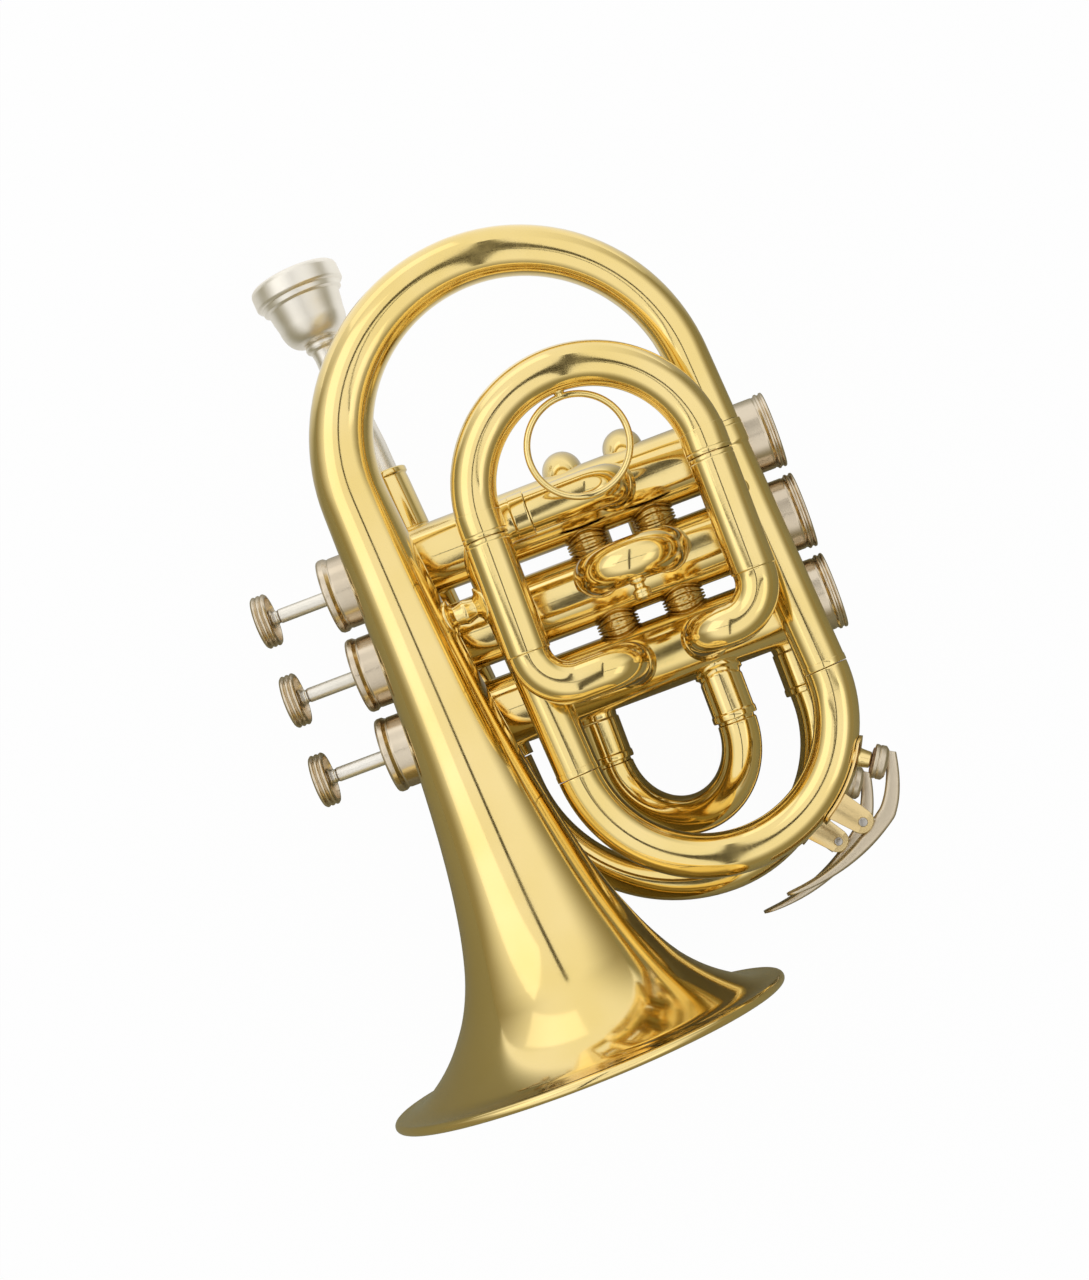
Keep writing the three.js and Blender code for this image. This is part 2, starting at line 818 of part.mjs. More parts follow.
const receiver_bore = shank_radius + slide_clearance;
const receiver_length = (receiver_end_x - receiver_mouth_x) / Math.cos(lead_tilt);
const receiver = turned([
  [receiver_bore, 0], [receiver_radius + collar_height, 0], [receiver_radius + collar_height, collar_length],
  [receiver_radius, 2 * collar_length], [receiver_radius, receiver_length - collar_length],
  [lead_start_radius + collar_height, receiver_length], [receiver_bore, receiver_length],
], casing_sides);
addPiece('mouthpiece_receiver', placed(receiver, leadPlace(receiver_mouth_x), lead_heading), lacquered_brass);

const lead_start = leadPlace(receiver_end_x + seat_gap);
const lead_end = leadPlace(lead_joint_x);
const lead_length = lead_start.distanceTo(lead_end);
const leadpipe = turned([
  [lead_start_radius - lead_wall, 0], [lead_start_radius, 0], [lead_radius, lead_length - ferrule_length],
  [sleeve_radius, lead_length - ferrule_length], [sleeve_radius, lead_length],
  [lead_radius - lead_wall, lead_length],
], tube_sides);
addPiece('leadpipe', placed(leadpipe, lead_start, lead_heading), lacquered_brass);

// The bow's first quarter takes what its other quarter leaves of the drop between the two legs
const lead_turn = Math.PI / 2 - lead_tilt;
const lead_first_radius = (inlet_y - leadPlace(lead_bow_x).y - lead_bow_radius) / Math.tan(lead_turn / 2);
const lead_bow_route = new Route([
  leadPlace(lead_joint_x + seat_gap),
  leadPlace(lead_bow_x),
  point(lead_bow_x, inlet_y, lead_level),
  point(tuning_mouth_x - inlet_engaged, inlet_y, lead_level),
], [lead_first_radius, lead_bow_radius]);

// Main tuning slide with its inlet and outlet

const inlet_route = new Route([
  point(tuning_sleeve_x + joint_overlap, inlet_y, lead_level),
  point(valveX(3), inlet_y, lead_level),
  point(valveX(3), tuning_upper_y, lead_level),
  point(tuning_sleeve_x + joint_overlap, tuning_upper_y, lead_level),
], [tuning_cross_radius, tuning_cross_radius]);

function sleeve(start, end) {
  const inside = end.clone().sub(start).normalize();
  return joined(
    tube(new Route([start, end]), sleeve_radius, sleeve_bore),
    collar(start, inside, sleeve_radius),
  );
}

const inlet_sleeves = [inlet_y, tuning_upper_y].map((y) =>
  sleeve(point(tuning_mouth_x, y, lead_level), point(tuning_sleeve_x, y, lead_level)));
const inlet = joined(tube(inlet_route, elbow_radius, elbow_bore), ...inlet_sleeves);
addPiece('tuning_inlet_tube', asGeometry(inlet), lacquered_brass);

const outlet_foot = point(valveX(3), tuning_lower_y, 0);
const outlet = joined(
  sleeve(point(tuning_mouth_x, tuning_lower_y, 0), outlet_foot),
  flange(outlet_foot, forward, sleeve_radius, casing_radius),
);
addPiece('tuning_outlet_sleeve', asGeometry(cut(outlet, casingSpace(3))), lacquered_brass);

// A slide's legs are thin inner tubes that run into their sleeves
function slide(first_end, second_end, heading, bow_at) {
  return tube(bowRoute(first_end, second_end, heading, bow_at), slide_radius, slide_bore);
}

const tuning_leg_x = tuning_mouth_x - tuning_engaged;
const tuning_slide = slide(
  point(tuning_leg_x, tuning_upper_y, lead_level),
  point(tuning_leg_x, tuning_lower_y, 0),
  forward,
  tuning_mouth_x + tuning_stand,
);
addPiece('tuning_slide', asGeometry(tuning_slide), lacquered_brass);

// Third valve slide

const third_rows = [['upper', third_upper_y, upper_port], ['lower', third_lower_y, tuning_lower_y]];
for (const [row, leg_y, port] of third_rows) {
  const foot = point(valveX(3), port, 0);
  const route = new Route([
    point(third_sleeve_x - joint_overlap, leg_y, third_level),
    point(valveX(3), leg_y, third_level),
    point(valveX(3), port, third_level),
    foot,
  ], [third_bend_radius, third_drop_radius]);
  const third_sleeve = joined(
    tube(route, elbow_radius, elbow_bore),
    sleeve(point(third_mouth_x, leg_y, third_level), point(third_sleeve_x, leg_y, third_level)),
    flange(foot, outward, elbow_radius, casing_radius),
  );
  addPiece(`third_slide_${row}_sleeve`, asGeometry(cut(third_sleeve, casingSpace(3))), lacquered_brass);
}

const third_end_x = third_mouth_x - seat_gap;
const third_bow_route = bowRoute(
  point(third_end_x, third_upper_y, third_level),
  point(third_end_x, third_lower_y, third_level),
  backward,
  -third_bow_x,
);
const third_legs = third_rows.flatMap(([, leg_y]) => {
  const end = point(third_end_x, leg_y, third_level);
  const inner_end = point(third_mouth_x + third_engaged, leg_y, third_level);
  const inner_start = end.clone().addScaledVector(backward, joint_overlap);
  return [
    tube(new Route([inner_start, inner_end]), slide_radius, slide_bore),
    collar(end, backward, sleeve_radius, ferrule_length),
  ];
});
const third_slide = joined(tube(third_bow_route, sleeve_radius, elbow_bore), ...third_legs);
addPiece('third_slide', asGeometry(third_slide), lacquered_brass);

// A wire ring for the player's finger stands in the middle of the third slide's bow
const bow_inside_x = third_bow_x - third_bow_radius + sleeve_radius;
const ring_x = bow_inside_x + seat_gap + ring_foot_height + ring_radius;
const ring_y = (third_upper_y + third_lower_y) / 2;
const ring_wire_x = ring_x - ring_radius;
const ring = asSolid(new THREE.TorusGeometry(ring_radius, ring_wire, ring_sides, ring_segments)
  .translate(ring_x, ring_y, third_level));
const ring_foot_start = point(bow_inside_x - overrun, ring_y, third_level);
const ring_foot = rod(ring_foot_start, point(ring_wire_x, ring_y, third_level), ring_foot_radius);
const third_bow_space = tube(third_bow_route, sleeve_radius + seat_gap);
addPiece('third_slide_ring', asGeometry(joined(ring, cut(ring_foot, third_bow_space))), lacquered_brass);

// Second valve slide, with a knob to pull it by

for (const [row, port] of [['upper', upper_port], ['lower', lower_port]]) {
  const foot = point(second_x, port, 0);
  const second_sleeve = joined(
    sleeve(point(second_x, port, second_mouth_level), foot),
    flange(foot, outward, sleeve_radius, casing_radius),
  );
  addPiece(`second_slide_${row}_sleeve`, asGeometry(cut(second_sleeve, casingSpace(2))), lacquered_brass);
}

const second_end_level = second_mouth_level - second_engaged;
const second_bow_level = second_mouth_level + second_stand;
const second_apex = point(second_x, upper_port + second_bow_radius, second_bow_level + second_bow_radius);
const knob_outline = [
  [0, 0], [knob_neck_radius, 0], [knob_neck_radius, knob_length / 2],
  [knob_radius, knob_length * knob_swell_share], [knob_radius, knob_length * knob_edge_share],
  [knob_neck_radius, knob_length], [0, knob_length],
];
const knob_foot = second_apex.clone().addScaledVector(forward, slide_radius - slide_wall);
const second_slide = joined(
  slide(
    point(second_x, upper_port, second_end_level),
    point(second_x, lower_port, second_end_level),
    outward,
    second_bow_level,
  ),
  asSolid(placed(turned(knob_outline, tube_sides), knob_foot, forward)),
);
addPiece('second_slide', asGeometry(second_slide), lacquered_brass);

// First valve slide, folded back behind the valves

const first_rows = [['upper', upper_port], ['lower', first_lower_port]];
for (const [row, port] of first_rows) {
  const route = new Route([
    point(valveX(1), port, 0),
    point(first_leg_x, port, 0),
    point(first_leg_x, port, first_level),
    point(first_sleeve_x + joint_overlap, port, first_level),
  ], [first_bend_radius, first_bend_radius]);
  const first_sleeve = joined(
    tube(route, elbow_radius, elbow_bore),
    sleeve(point(first_mouth_x, port, first_level), point(first_sleeve_x, port, first_level)),
  );
  addPiece(`first_slide_${row}_sleeve`, asGeometry(cut(first_sleeve, casingSpace(1))), lacquered_brass);
}

const first_slide = slide(
  point(first_mouth_x - first_engaged, upper_port, first_level),
  point(first_mouth_x - first_engaged, first_lower_port, first_level),
  forward,
  first_bow_x,
);
addPiece('first_slide', asGeometry(first_slide), lacquered_brass);

// Braces

// A turned spindle between two tubes, cut to seat on both
function spindle(start, end, start_space, end_space, start_radius, end_radius) {
  const length = start.distanceTo(end);
  const [start_foot, end_foot] = [start_radius + brace_foot_height, length - end_radius - brace_foot_height];
  const outline = [
    [0, 0], [brace_foot_radius, 0], [brace_foot_radius, start_foot], [brace_neck_radius, start_foot],
    [brace_neck_radius, end_foot], [brace_foot_radius, end_foot], [brace_foot_radius, length], [0, length],
  ];
  const blank = asSolid(placed(turned(outline, tube_sides), start, end.clone().sub(start)));
  return asGeometry(cut(blank, start_space, end_space));
}

const bell_brace_start = inLoop(bell_brace_at, bell_across);
const bell_radius_there = hornRadius(bell_rim_at - bell_brace_at);
const bell_space = rod(
  inLoop(bell_brace_at - bell_radius_there, bell_across),
  inLoop(bell_brace_at + bell_radius_there, bell_across),
  hornRadius(bell_rim_at - bell_brace_at - brace_foot_radius) + seat_gap,
  bell_sides,
);
const return_space = tube(return_route, sleeve_radius + seat_gap);
addPiece('bell_brace', spindle(
  bell_brace_start,
  inLoop(bell_brace_at, return_across),
  bell_space,
  return_space,
  bell_radius_there,
  sleeve_radius,
), lacquered_brass);

// A short spacer between two tubes or casings, cut to seat on both
function spacer(start, end, ...spaces) {
  return asGeometry(cut(rod(start, end, spacer_radius), ...spaces));
}

const side_brace_low = inLoop(alongAt(side_brace_x, side_across), side_across);
const side_brace_high = point(side_brace_low.x, third_lower_y, third_level);
const side_space = tube(new Route([side_start, side_end]), sleeve_radius + seat_gap);
const third_sleeve_space = tube(new Route([
  point(third_mouth_x, third_lower_y, third_level),
  point(third_sleeve_x, third_lower_y, third_level),
]), sleeve_radius + seat_gap);
const side_brace = spacer(side_brace_low, side_brace_high, side_space, third_sleeve_space);
addPiece('side_brace', side_brace, lacquered_brass);

const lead_space = rod(lead_start, lead_end, lead_radius + seat_gap);
for (const [name, valve] of [['rear', 1], ['front', 3]]) {
  const on_pipe = leadPlace(valveX(valve));
  const on_casing = point(on_pipe.x, on_pipe.y, 0);
  const brace = spacer(on_pipe, on_casing, lead_space, casingSpace(valve));
  addPiece(`leadpipe_${name}_brace`, brace, lacquered_brass);
}

// Water keys

// A bow's nipple and drain hole under the cork of its water key
function withNipple(bow_tube, bow) {
  const heading = point(Math.cos(key_cup_angle), Math.sin(key_cup_angle), 0);
  const at = (height) => bow.centre.clone().addScaledVector(heading, bow.radius + bow.tube_radius + height);
  const nipple = rod(at(-2 * sleeve_wall), at(nipple_height), nipple_radius);
  const drain = rod(at(-overrun), at(nipple_height + overrun), drain_radius);
  return asGeometry(cut(joined(bow_tube, nipple), drain));
}

function waterKey(name, bow) {
  const surface = bow.radius + bow.tube_radius;
  const spot = (angle, height) =>
    new THREE.Vector2(Math.cos(angle), Math.sin(angle)).multiplyScalar(surface + height);

  // A flat outline round the bow's centre, made as thick as a width along the hinge
  const plate = (outline, width) => {
    const slab = new THREE.ExtrudeGeometry(new THREE.Shape(outline), { depth: width, bevelEnabled: false });
    return asSolid(slab.translate(bow.centre.x, bow.centre.y, bow.centre.z - width / 2));
  };

  // An upright ear with a round end at the pivot, rooted at a height
  const ear = (root_height, root_width, width, middle) => {
    const up = root_height > key_pivot_height ? -1 : 1;
    const outline = new THREE.Shape();
    outline.moveTo(-root_width, root_height - key_pivot_height);
    outline.absarc(0, 0, key_ear_radius, Math.PI, 0, up > 0);
    outline.lineTo(root_width, root_height - key_pivot_height);
    const slab = new THREE.ExtrudeGeometry(outline, {
      depth: width,
      bevelEnabled: false,
      curveSegments: tube_sides / 2,
    });
    const pivot = spot(key_pivot_angle, key_pivot_height);
    slab.translate(0, 0, middle - width / 2).rotateZ(key_pivot_angle - Math.PI / 2);
    return asSolid(slab.translate(bow.centre.x + pivot.x, bow.centre.y + pivot.y, bow.centre.z));
  };

  const pivot = spot(key_pivot_angle, key_pivot_height);
  const along_pin = (reach, radius) => {
    const middle = bow.centre.clone().add(point(pivot.x, pivot.y, 0));
    const start = middle.clone().addScaledVector(outward, -reach);
    return rod(start, middle.addScaledVector(outward, reach), radius);
  };
  const lug_middle = key_arm_width / 2 + seat_gap + key_lug_thickness / 2;
  const lug_outside = lug_middle + key_lug_thickness / 2;
  const pin_hole = along_pin(lug_outside + overrun, key_pin_radius + seat_gap);

  // Arm: its back follows a smooth line over the cup, the hinge and down to the touch
  const back_line = new THREE.SplineCurve([
    new THREE.Vector2(key_heel_angle, key_cup_back_height),
    new THREE.Vector2(key_crest_angle, key_crest_height),
    new THREE.Vector2(key_pivot_angle, key_arm_height),
    new THREE.Vector2(key_tip_angle, key_tip_height),
  ]);
  const thicknesses = new THREE.SplineCurve([
    new THREE.Vector2(key_heel_angle, key_heel_thickness),
    new THREE.Vector2(key_crest_angle, key_arm_thickness),
    new THREE.Vector2(key_pivot_angle, key_arm_thickness),
    new THREE.Vector2(key_tip_angle, key_tip_thickness),
  ]);
  const armOutline = (start_share) => {
    const shares = Array.from({ length: key_outline_steps + 1 }, (_, i) => i / key_outline_steps);
    const spread = shares.map((share) => start_share + share * (1 - start_share));
    const back = spread.map((share) => back_line.getPoint(share));
    const belly = spread.map((share, i) => back[i].clone().setY(back[i].y - thicknesses.getPoint(share).y));
    return [...back, ...belly.reverse()].map((at) => spot(at.x, at.y));
  };

  const radial = point(Math.cos(key_cup_angle), Math.sin(key_cup_angle), 0);
  const overNipple = (height) => bow.centre.clone().addScaledVector(radial, surface + height);
  const cork_bottom = nipple_height + seat_gap;
  const cup_bottom = cork_bottom + cork_stand;
  const cup_roof = cork_bottom + cork_height + seat_gap;
  const cup = rod(overNipple(cup_bottom), overNipple(cup_roof + cup_wall), cork_radius + seat_gap + cup_wall);
  const cup_room = rod(overNipple(cup_bottom - overrun), overNipple(cup_roof), cork_radius + seat_gap);
  const lever = cut(joined(
    plate(armOutline(0), key_arm_width),
    plate(armOutline(key_touch_share), key_touch_width),
    ear(key_arm_height - key_arm_thickness / 2, key_ear_radius, key_arm_width, 0),
    cup,
  ), cup_room, pin_hole);
  addPiece(`${name}_lever`, asGeometry(lever), nickel);

  const cork_disc = rod(overNipple(cork_bottom), overNipple(cork_bottom + cork_height), cork_radius);
  addPiece(`${name}_cork`, asGeometry(cork_disc), cork);

  // Saddle: a strip bent to the bow, with two lugs that hold the pin and a hole round the nipple
  const strip_angles = Array.from({ length: key_outline_steps + 1 }, (_, i) =>
    key_plate_start_angle + (i * (key_plate_end_angle - key_plate_start_angle)) / key_outline_steps);
  const strip_top = strip_angles.map((angle) => spot(angle, seat_gap + key_plate_thickness));
  const strip_under = strip_angles.map((angle) => spot(angle, -key_plate_thickness)).reverse();
  const lugs = [-1, 1].map((side) => ear(seat_gap, key_lug_foot, key_lug_thickness, side * lug_middle));
  const nipple_room = rod(overNipple(-overrun), overNipple(nipple_height), nipple_radius + seat_gap);
  const saddle = cut(
    joined(plate([...strip_top, ...strip_under], key_plate_width), ...lugs),
    bow.space,
    pin_hole,
    nipple_room,
  );
  addPiece(`${name}_saddle`, asGeometry(saddle), raw_brass);
  addPiece(`${name}_pin`, asGeometry(along_pin(lug_outside + key_pin_overhang, key_pin_radius)), steel);
}

const front_bow = {
  centre: inLoop(front_bow_at + seat_gap, (side_across + return_across) / 2),
  radius: front_bow_radius,
  tube_radius: sleeve_radius,
  space: tube(front_route, sleeve_radius + seat_gap),
};
const front_bow_tube = tube(front_route, sleeve_radius, sleeve_bore);
addPiece('bell_front_bow', withNipple(front_bow_tube, front_bow), lacquered_brass);
waterKey('bell_water_key', front_bow);

const lead_bow = {
  centre: point(lead_bow_x - lead_bow_radius, inlet_y - lead_bow_radius, lead_level),
  radius: lead_bow_radius,
  tube_radius: slide_radius,
  space: tube(lead_bow_route, slide_radius + seat_gap),
};
const lead_bow_tube = tube(lead_bow_route, slide_radius, slide_bore);
addPiece('leadpipe_bow', withNipple(lead_bow_tube, lead_bow), lacquered_brass);
waterKey('leadpipe_water_key', lead_bow);

// The origin is the middle of the foot of the box round the whole trumpet
const box = new THREE.Box3().setFromObject(trumpet, true);
const middle = box.getCenter(point(0, 0, 0));
trumpet.position.set(-middle.x, -middle.y, -box.min.z);

export default trumpet;
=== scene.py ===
import math

import bmesh
import bpy
import numpy as np
from mathutils import Matrix, Vector


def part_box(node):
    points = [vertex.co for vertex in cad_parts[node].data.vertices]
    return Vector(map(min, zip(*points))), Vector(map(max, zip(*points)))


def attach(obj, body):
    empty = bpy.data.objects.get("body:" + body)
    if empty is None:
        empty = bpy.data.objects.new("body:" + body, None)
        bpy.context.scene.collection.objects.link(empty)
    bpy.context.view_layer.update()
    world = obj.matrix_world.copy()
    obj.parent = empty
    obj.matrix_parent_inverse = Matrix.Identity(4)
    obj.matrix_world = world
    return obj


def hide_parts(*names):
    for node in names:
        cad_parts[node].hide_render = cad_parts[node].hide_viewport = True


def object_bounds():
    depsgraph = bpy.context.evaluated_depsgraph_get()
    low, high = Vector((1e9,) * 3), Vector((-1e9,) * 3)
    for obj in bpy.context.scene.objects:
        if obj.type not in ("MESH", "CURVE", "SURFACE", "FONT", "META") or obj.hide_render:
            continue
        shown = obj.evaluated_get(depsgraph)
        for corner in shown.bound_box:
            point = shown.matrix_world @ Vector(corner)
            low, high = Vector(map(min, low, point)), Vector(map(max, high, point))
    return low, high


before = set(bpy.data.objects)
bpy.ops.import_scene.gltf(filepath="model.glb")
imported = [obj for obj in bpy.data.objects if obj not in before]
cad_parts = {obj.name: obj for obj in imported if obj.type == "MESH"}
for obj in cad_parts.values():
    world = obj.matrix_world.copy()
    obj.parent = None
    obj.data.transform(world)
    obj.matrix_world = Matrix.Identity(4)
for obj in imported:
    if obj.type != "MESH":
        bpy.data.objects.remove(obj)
cad_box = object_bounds()

# Valve casings
# Three straight drawn brass tubes side by side hold the pistons. They are lapped inside, lacquered outside,
# and carry every other tube, so all places below are millimetres from the middle valve's axis.

mm = 0.001
casing_top, casing_bottom = -57.5, 74.1
casing_middle = (casing_top + casing_bottom) / 2
casing_low, casing_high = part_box("valve_casing_2")
origin = np.array((casing_low + casing_high) / 2) - np.array([0, casing_middle, 0]) * mm
forward, to_caps, upward = np.eye(3)


def unit(vector):
    return vector / np.linalg.norm(vector)


def turned_by(vector, axis, angle):
    kept = axis * (axis @ vector) * (1 - math.cos(angle))
    return vector * math.cos(angle) + np.cross(axis, vector) * math.sin(angle) + kept


class Line:
    """A centre line in millimetres through corner points, with a round bend at each inner corner"""

    bend_step = math.radians(3)
    ring_gap, least_run = 0.3, 0.001
    steep = 0.9

    def __init__(self, corners, radii=()):
        corners = [np.array(corner, float) for corner in corners]
        first_heading = unit(corners[1] - corners[0])
        self.parts = []
        self.length = 0
        self.side = upward if abs(first_heading @ upward) < self.steep else forward
        self.side = unit(self.side - first_heading * (first_heading @ self.side))
        start = corners[0]
        for before, corner, after, radius in zip(corners, corners[1:], corners[2:], radii):
            arriving, leaving = unit(corner - before), unit(after - corner)
            bend = math.acos(np.clip(arriving @ leaving, -1, 1))
            setback = radius * math.tan(bend / 2)
            self.add_run(start, corner - arriving * setback)
            axis = unit(np.cross(arriving, leaving))
            self.add_part(corner - arriving * setback, arriving, radius * bend, axis, radius)
            self.side = turned_by(self.side, axis, bend)
            start = corner + leaving * setback
        self.add_run(start, corners[-1])

    def add_run(self, start, end):
        reach = np.linalg.norm(end - start)
        if reach > self.least_run:
            self.add_part(start, (end - start) / reach, reach)

    def add_part(self, start, heading, reach, axis=None, radius=1):
        self.parts.append((self.length, reach, start, heading, self.side, axis, radius))
        self.length += reach

    def at(self, distance):
        """The place, the heading and the sideways direction at a distance along the line"""
        part = next((part for part in self.parts if distance < part[0] + part[1]), self.parts[-1])
        begin, _, start, heading, side, axis, radius = part
        if axis is None:
            return start + heading * (distance - begin), heading, side
        angle = (distance - begin) / radius
        spoke = np.cross(heading, axis) * radius
        place = start - spoke + turned_by(spoke, axis, angle)
        return place, turned_by(heading, axis, angle), turned_by(side, axis, angle)

    def stops(self, low, high):
        """Distances between two others at which a bend needs a ring"""
        found = []
        for begin, reach, _, _, _, axis, radius in self.parts:
            steps = 1 if axis is None else max(2, round(reach / radius / self.bend_step))
            found += [begin + reach * step / steps for step in range(steps + 1)]
        spread = []
        for distance in sorted(found):
            apart = not spread or distance > spread[-1] + self.ring_gap
            if apart and low + self.ring_gap < distance < high - self.ring_gap:
                spread.append(distance)
        return spread


def eased(outline, ease):
    """A closed outline with its corners rounded, and a ring beside each to hold the shading flat"""
    no_length, nearly_straight = 1e-6, math.cos(math.radians(12))
    most_share, ring_trims, long_trims = 0.4, 2.5, 8
    points = [np.array(point, float) for point in outline]
    result = []
    for i, here in enumerate(points):
        back, on = points[i - 1] - here, points[(i + 1) % len(points)] - here
        back_length, on_length = np.linalg.norm(back), np.linalg.norm(on)
        if (
            here[1] <= 0 or min(back_length, on_length) < no_length
            or -(back @ on) / (back_length * on_length) > nearly_straight
        ):
            result.append(here)
            continue
        trim = min(ease, most_share * back_length, most_share * on_length)
        start, end = here + back / back_length * trim, here + on / on_length * trim
        if back_length > long_trims * trim:
            result.append(here + back / back_length * ring_trims * trim)
        for share in (0, 1 / 3, 2 / 3, 1):
            result.append(start * (1 - share) ** 2 + here * 2 * share * (1 - share) + end * share ** 2)
        if on_length > long_trims * trim:
            result.append(here + on / on_length * ring_trims * trim)
    return result


class Socket:
    """The output of a material's node, on which sums are written as plain sums"""

    def __init__(self, finish, output):
        self.finish, self.output = finish, output

    def math(self, operation, first, second):
        return self.finish.node("Math", {"operation": operation}, {0: first, 1: second})

    def __add__(self, other):
        return self.math("ADD", self, other)

    def __sub__(self, other):
        return self.math("SUBTRACT", self, other)

    def __rsub__(self, other):
        return self.math("SUBTRACT", other, self)

    def __mul__(self, other):
        return self.math("MULTIPLY", self, other)

    __radd__ = __add__
    __rmul__ = __mul__


class Finish:
    """A material for one slot, whose nodes are added one call at a time"""

    def __init__(self, name, slot=None, **constants):
        self.slot = slot
        self.material = bpy.data.materials.new(name)
        self.material.use_nodes = True
        self.tree = self.material.node_tree
        self.shader = self.tree.nodes["Principled BSDF"]
        self.place = self.node("TexCoord", output="Object")
        self.set(**constants)

    def feed(self, socket, value):
        if isinstance(value, Socket):
            self.tree.links.new(value.output, socket)
        else:
            socket.default_value = value

    def node(self, kind, settings=None, inputs=None, output=0):
        node = self.tree.nodes.new("ShaderNode" + kind)
        for name, value in (settings or {}).items():
            setattr(node, name, value)
        for name, value in (inputs or {}).items():
            self.feed(node.inputs[name], value)
        return Socket(self, node.outputs[output])

    def noise(self, size, detail=2, stretch=(1, 1, 1)):
        """Clouds of about a size in millimetres, between 0 and 1"""
        place = self.node("Mapping", {}, {"Vector": self.place, "Scale": stretch})
        return self.node("TexNoise", {}, {"Vector": place, "Scale": 1 / (size * mm), "Detail": detail})

    def band(self, value, low, high, steps="LINEAR"):
        """How far a value is between a low and a high one, from 0 to 1"""
        inputs = {"Value": value, "From Min": low, "From Max": high}
        return self.node("MapRange", {"interpolation_type": steps}, inputs)

    def mix(self, share, first, second):
        inputs = {0: share, 6: (*first, 1), 7: (*second, 1)}
        return self.node("Mix", {"data_type": "RGBA"}, inputs, output=2)

    def bump(self, height, strength, depth, over=None):
        inputs = {"Height": height, "Strength": strength, "Distance": depth * mm}
        if over:
            inputs["Normal"] = over
        return self.node("Bump", {}, inputs)

    def set(self, **values):
        for name, value in values.items():
            self.feed(self.shader.inputs[name.replace("_", " ")], value)
        return self


def polished_metal(name, slot, colour, deeper, rough, coat=0.0):
    """Buffed metal: its colour drifts a little, handling dulls it in patches and fine scratches cross it"""
    finish = Finish(name, slot, Metallic=1.0, Coat_Roughness=0.04, Coat_IOR=1.45)
    drift = finish.band(finish.noise(size=26), low=0.35, high=0.7)
    handling = finish.band(finish.noise(size=11, detail=4), low=0.45, high=0.75)
    lengthwise = finish.band(finish.noise(size=0.5, detail=1, stretch=(1, 0.06, 1)), low=0.62, high=0.75)
    crossing = finish.band(finish.noise(size=0.6, detail=1, stretch=(0.05, 1, 1)), low=0.64, high=0.78)
    scratches = lengthwise + crossing
    ripple = finish.bump(finish.noise(size=14, detail=1), strength=0.06, depth=0.25)
    handling_dulls, scratches_dull, coat_wear_share = 0.05, 0.03, 0.4
    return finish.set(
        Base_Color=finish.mix(drift, colour, deeper),
        Roughness=handling * handling_dulls + scratches * scratches_dull + rough,
        Coat_Weight=coat - handling * (coat * coat_wear_share),
        Normal=finish.bump(scratches, strength=0.04, depth=0.02, over=ripple),
    )


gold_brass = polished_metal(
    "lacquered_brass", "lacquered_brass", (0.93, 0.728, 0.31), (0.88, 0.672, 0.24), rough=0.09, coat=0.8,
)


class Piece:
    """A piece of the trumpet, built up from turned, bent and lofted forms given in millimetres"""

    sharp_angle = math.radians(38)

    def __init__(self, name):
        self.name = name
        self.places = []
        self.faces = []

    def add(self, points):
        first = len(self.places)
        self.places.extend(np.atleast_2d(points))
        return list(range(first, len(self.places)))

    def bridge(self, here, there):
        if len(here) == len(there) == 1:
            return
        sides = max(len(here), len(there))
        for i in range(sides):
            j = (i + 1) % sides
            if len(here) == 1:
                self.faces.append((here[0], there[j], there[i]))
            elif len(there) == 1:
                self.faces.append((here[i], here[j], there[0]))
            else:
                self.faces.append((here[i], here[j], there[j], there[i]))

    def turn(self, line, outline, ease=0.2, sides=56, seats=()):
        """An outline of distance along a line and radius about it, eased and swept round the line"""
        if ease:
            outline = eased(outline, ease)
        loop = []
        for here, after in zip(outline, [*outline[1:], outline[0]]):
            loop.append(here)
            between = line.stops(*sorted((here[0], after[0])))
            if after[0] < here[0]:
                between.reverse()
            for distance in between:
                share = (distance - here[0]) / (after[0] - here[0])
                loop.append((distance, here[1] + share * (after[1] - here[1])))
        angles = np.arange(sides) * 2 * math.pi / sides
        rings = []
        for distance, radius in loop:
            place, heading, side = line.at(distance)
            if radius <= 0:
                rings.append(self.add(place))
                continue
            across = np.cross(heading, side)
            spokes = radius * (np.outer(np.cos(angles), side) + np.outer(np.sin(angles), across))
            ring = place + spokes
            for seat in seats:
                ring = ring + seat.shift(distance, spokes, heading)
            rings.append(self.add(ring))
        for here, there in zip(rings, rings[1:] + rings[:1]):
            self.bridge(here, there)
        return self

    def loft(self, rings):
        """A skin over closed rings of points, with a flat end at each side"""
        added = [self.add(ring) for ring in rings]
        for here, there in zip(added, added[1:]):
            self.bridge(here, there)
        for end, ring in ((added[0], rings[0]), (added[-1], rings[-1])):
            self.bridge(self.add(np.mean(ring, axis=0)), end)
        return self

    def finish(self, node=None, body="trumpet", look=gold_brass):
        mesh = bpy.data.meshes.new(self.name)
        mesh.from_pydata((np.array(self.places) * mm + origin).tolist(), [], self.faces)
        shell = bmesh.new()
        shell.from_mesh(mesh)
        bmesh.ops.recalc_face_normals(shell, faces=shell.faces)
        shell.to_mesh(mesh)
        shell.free()
        mesh.polygons.foreach_set("use_smooth", [True] * len(mesh.polygons))
        mesh.set_sharp_from_angle(angle=self.sharp_angle)
        mesh.materials.append(look.material)
        piece = bpy.data.objects.new(self.name, mesh)
        bpy.context.scene.collection.objects.link(piece)
        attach(piece, body)
        if node:
            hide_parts(node)
        return piece


valve_pitch = 24.2
casing_radius, casing_bore = 10.2, 8.6
neck_radius = 9.5
body_top, body_bottom = -46.7, 63.7
rim_length, rim_height = 1.1, 0.3
casing_rim = casing_radius + rim_height


def valve_x(valve):
    return (valve - 2) * valve_pitch


def valve_axis(valve):
    return Line([(valve_x(valve), 0, 0), (valve_x(valve), 1, 0)])


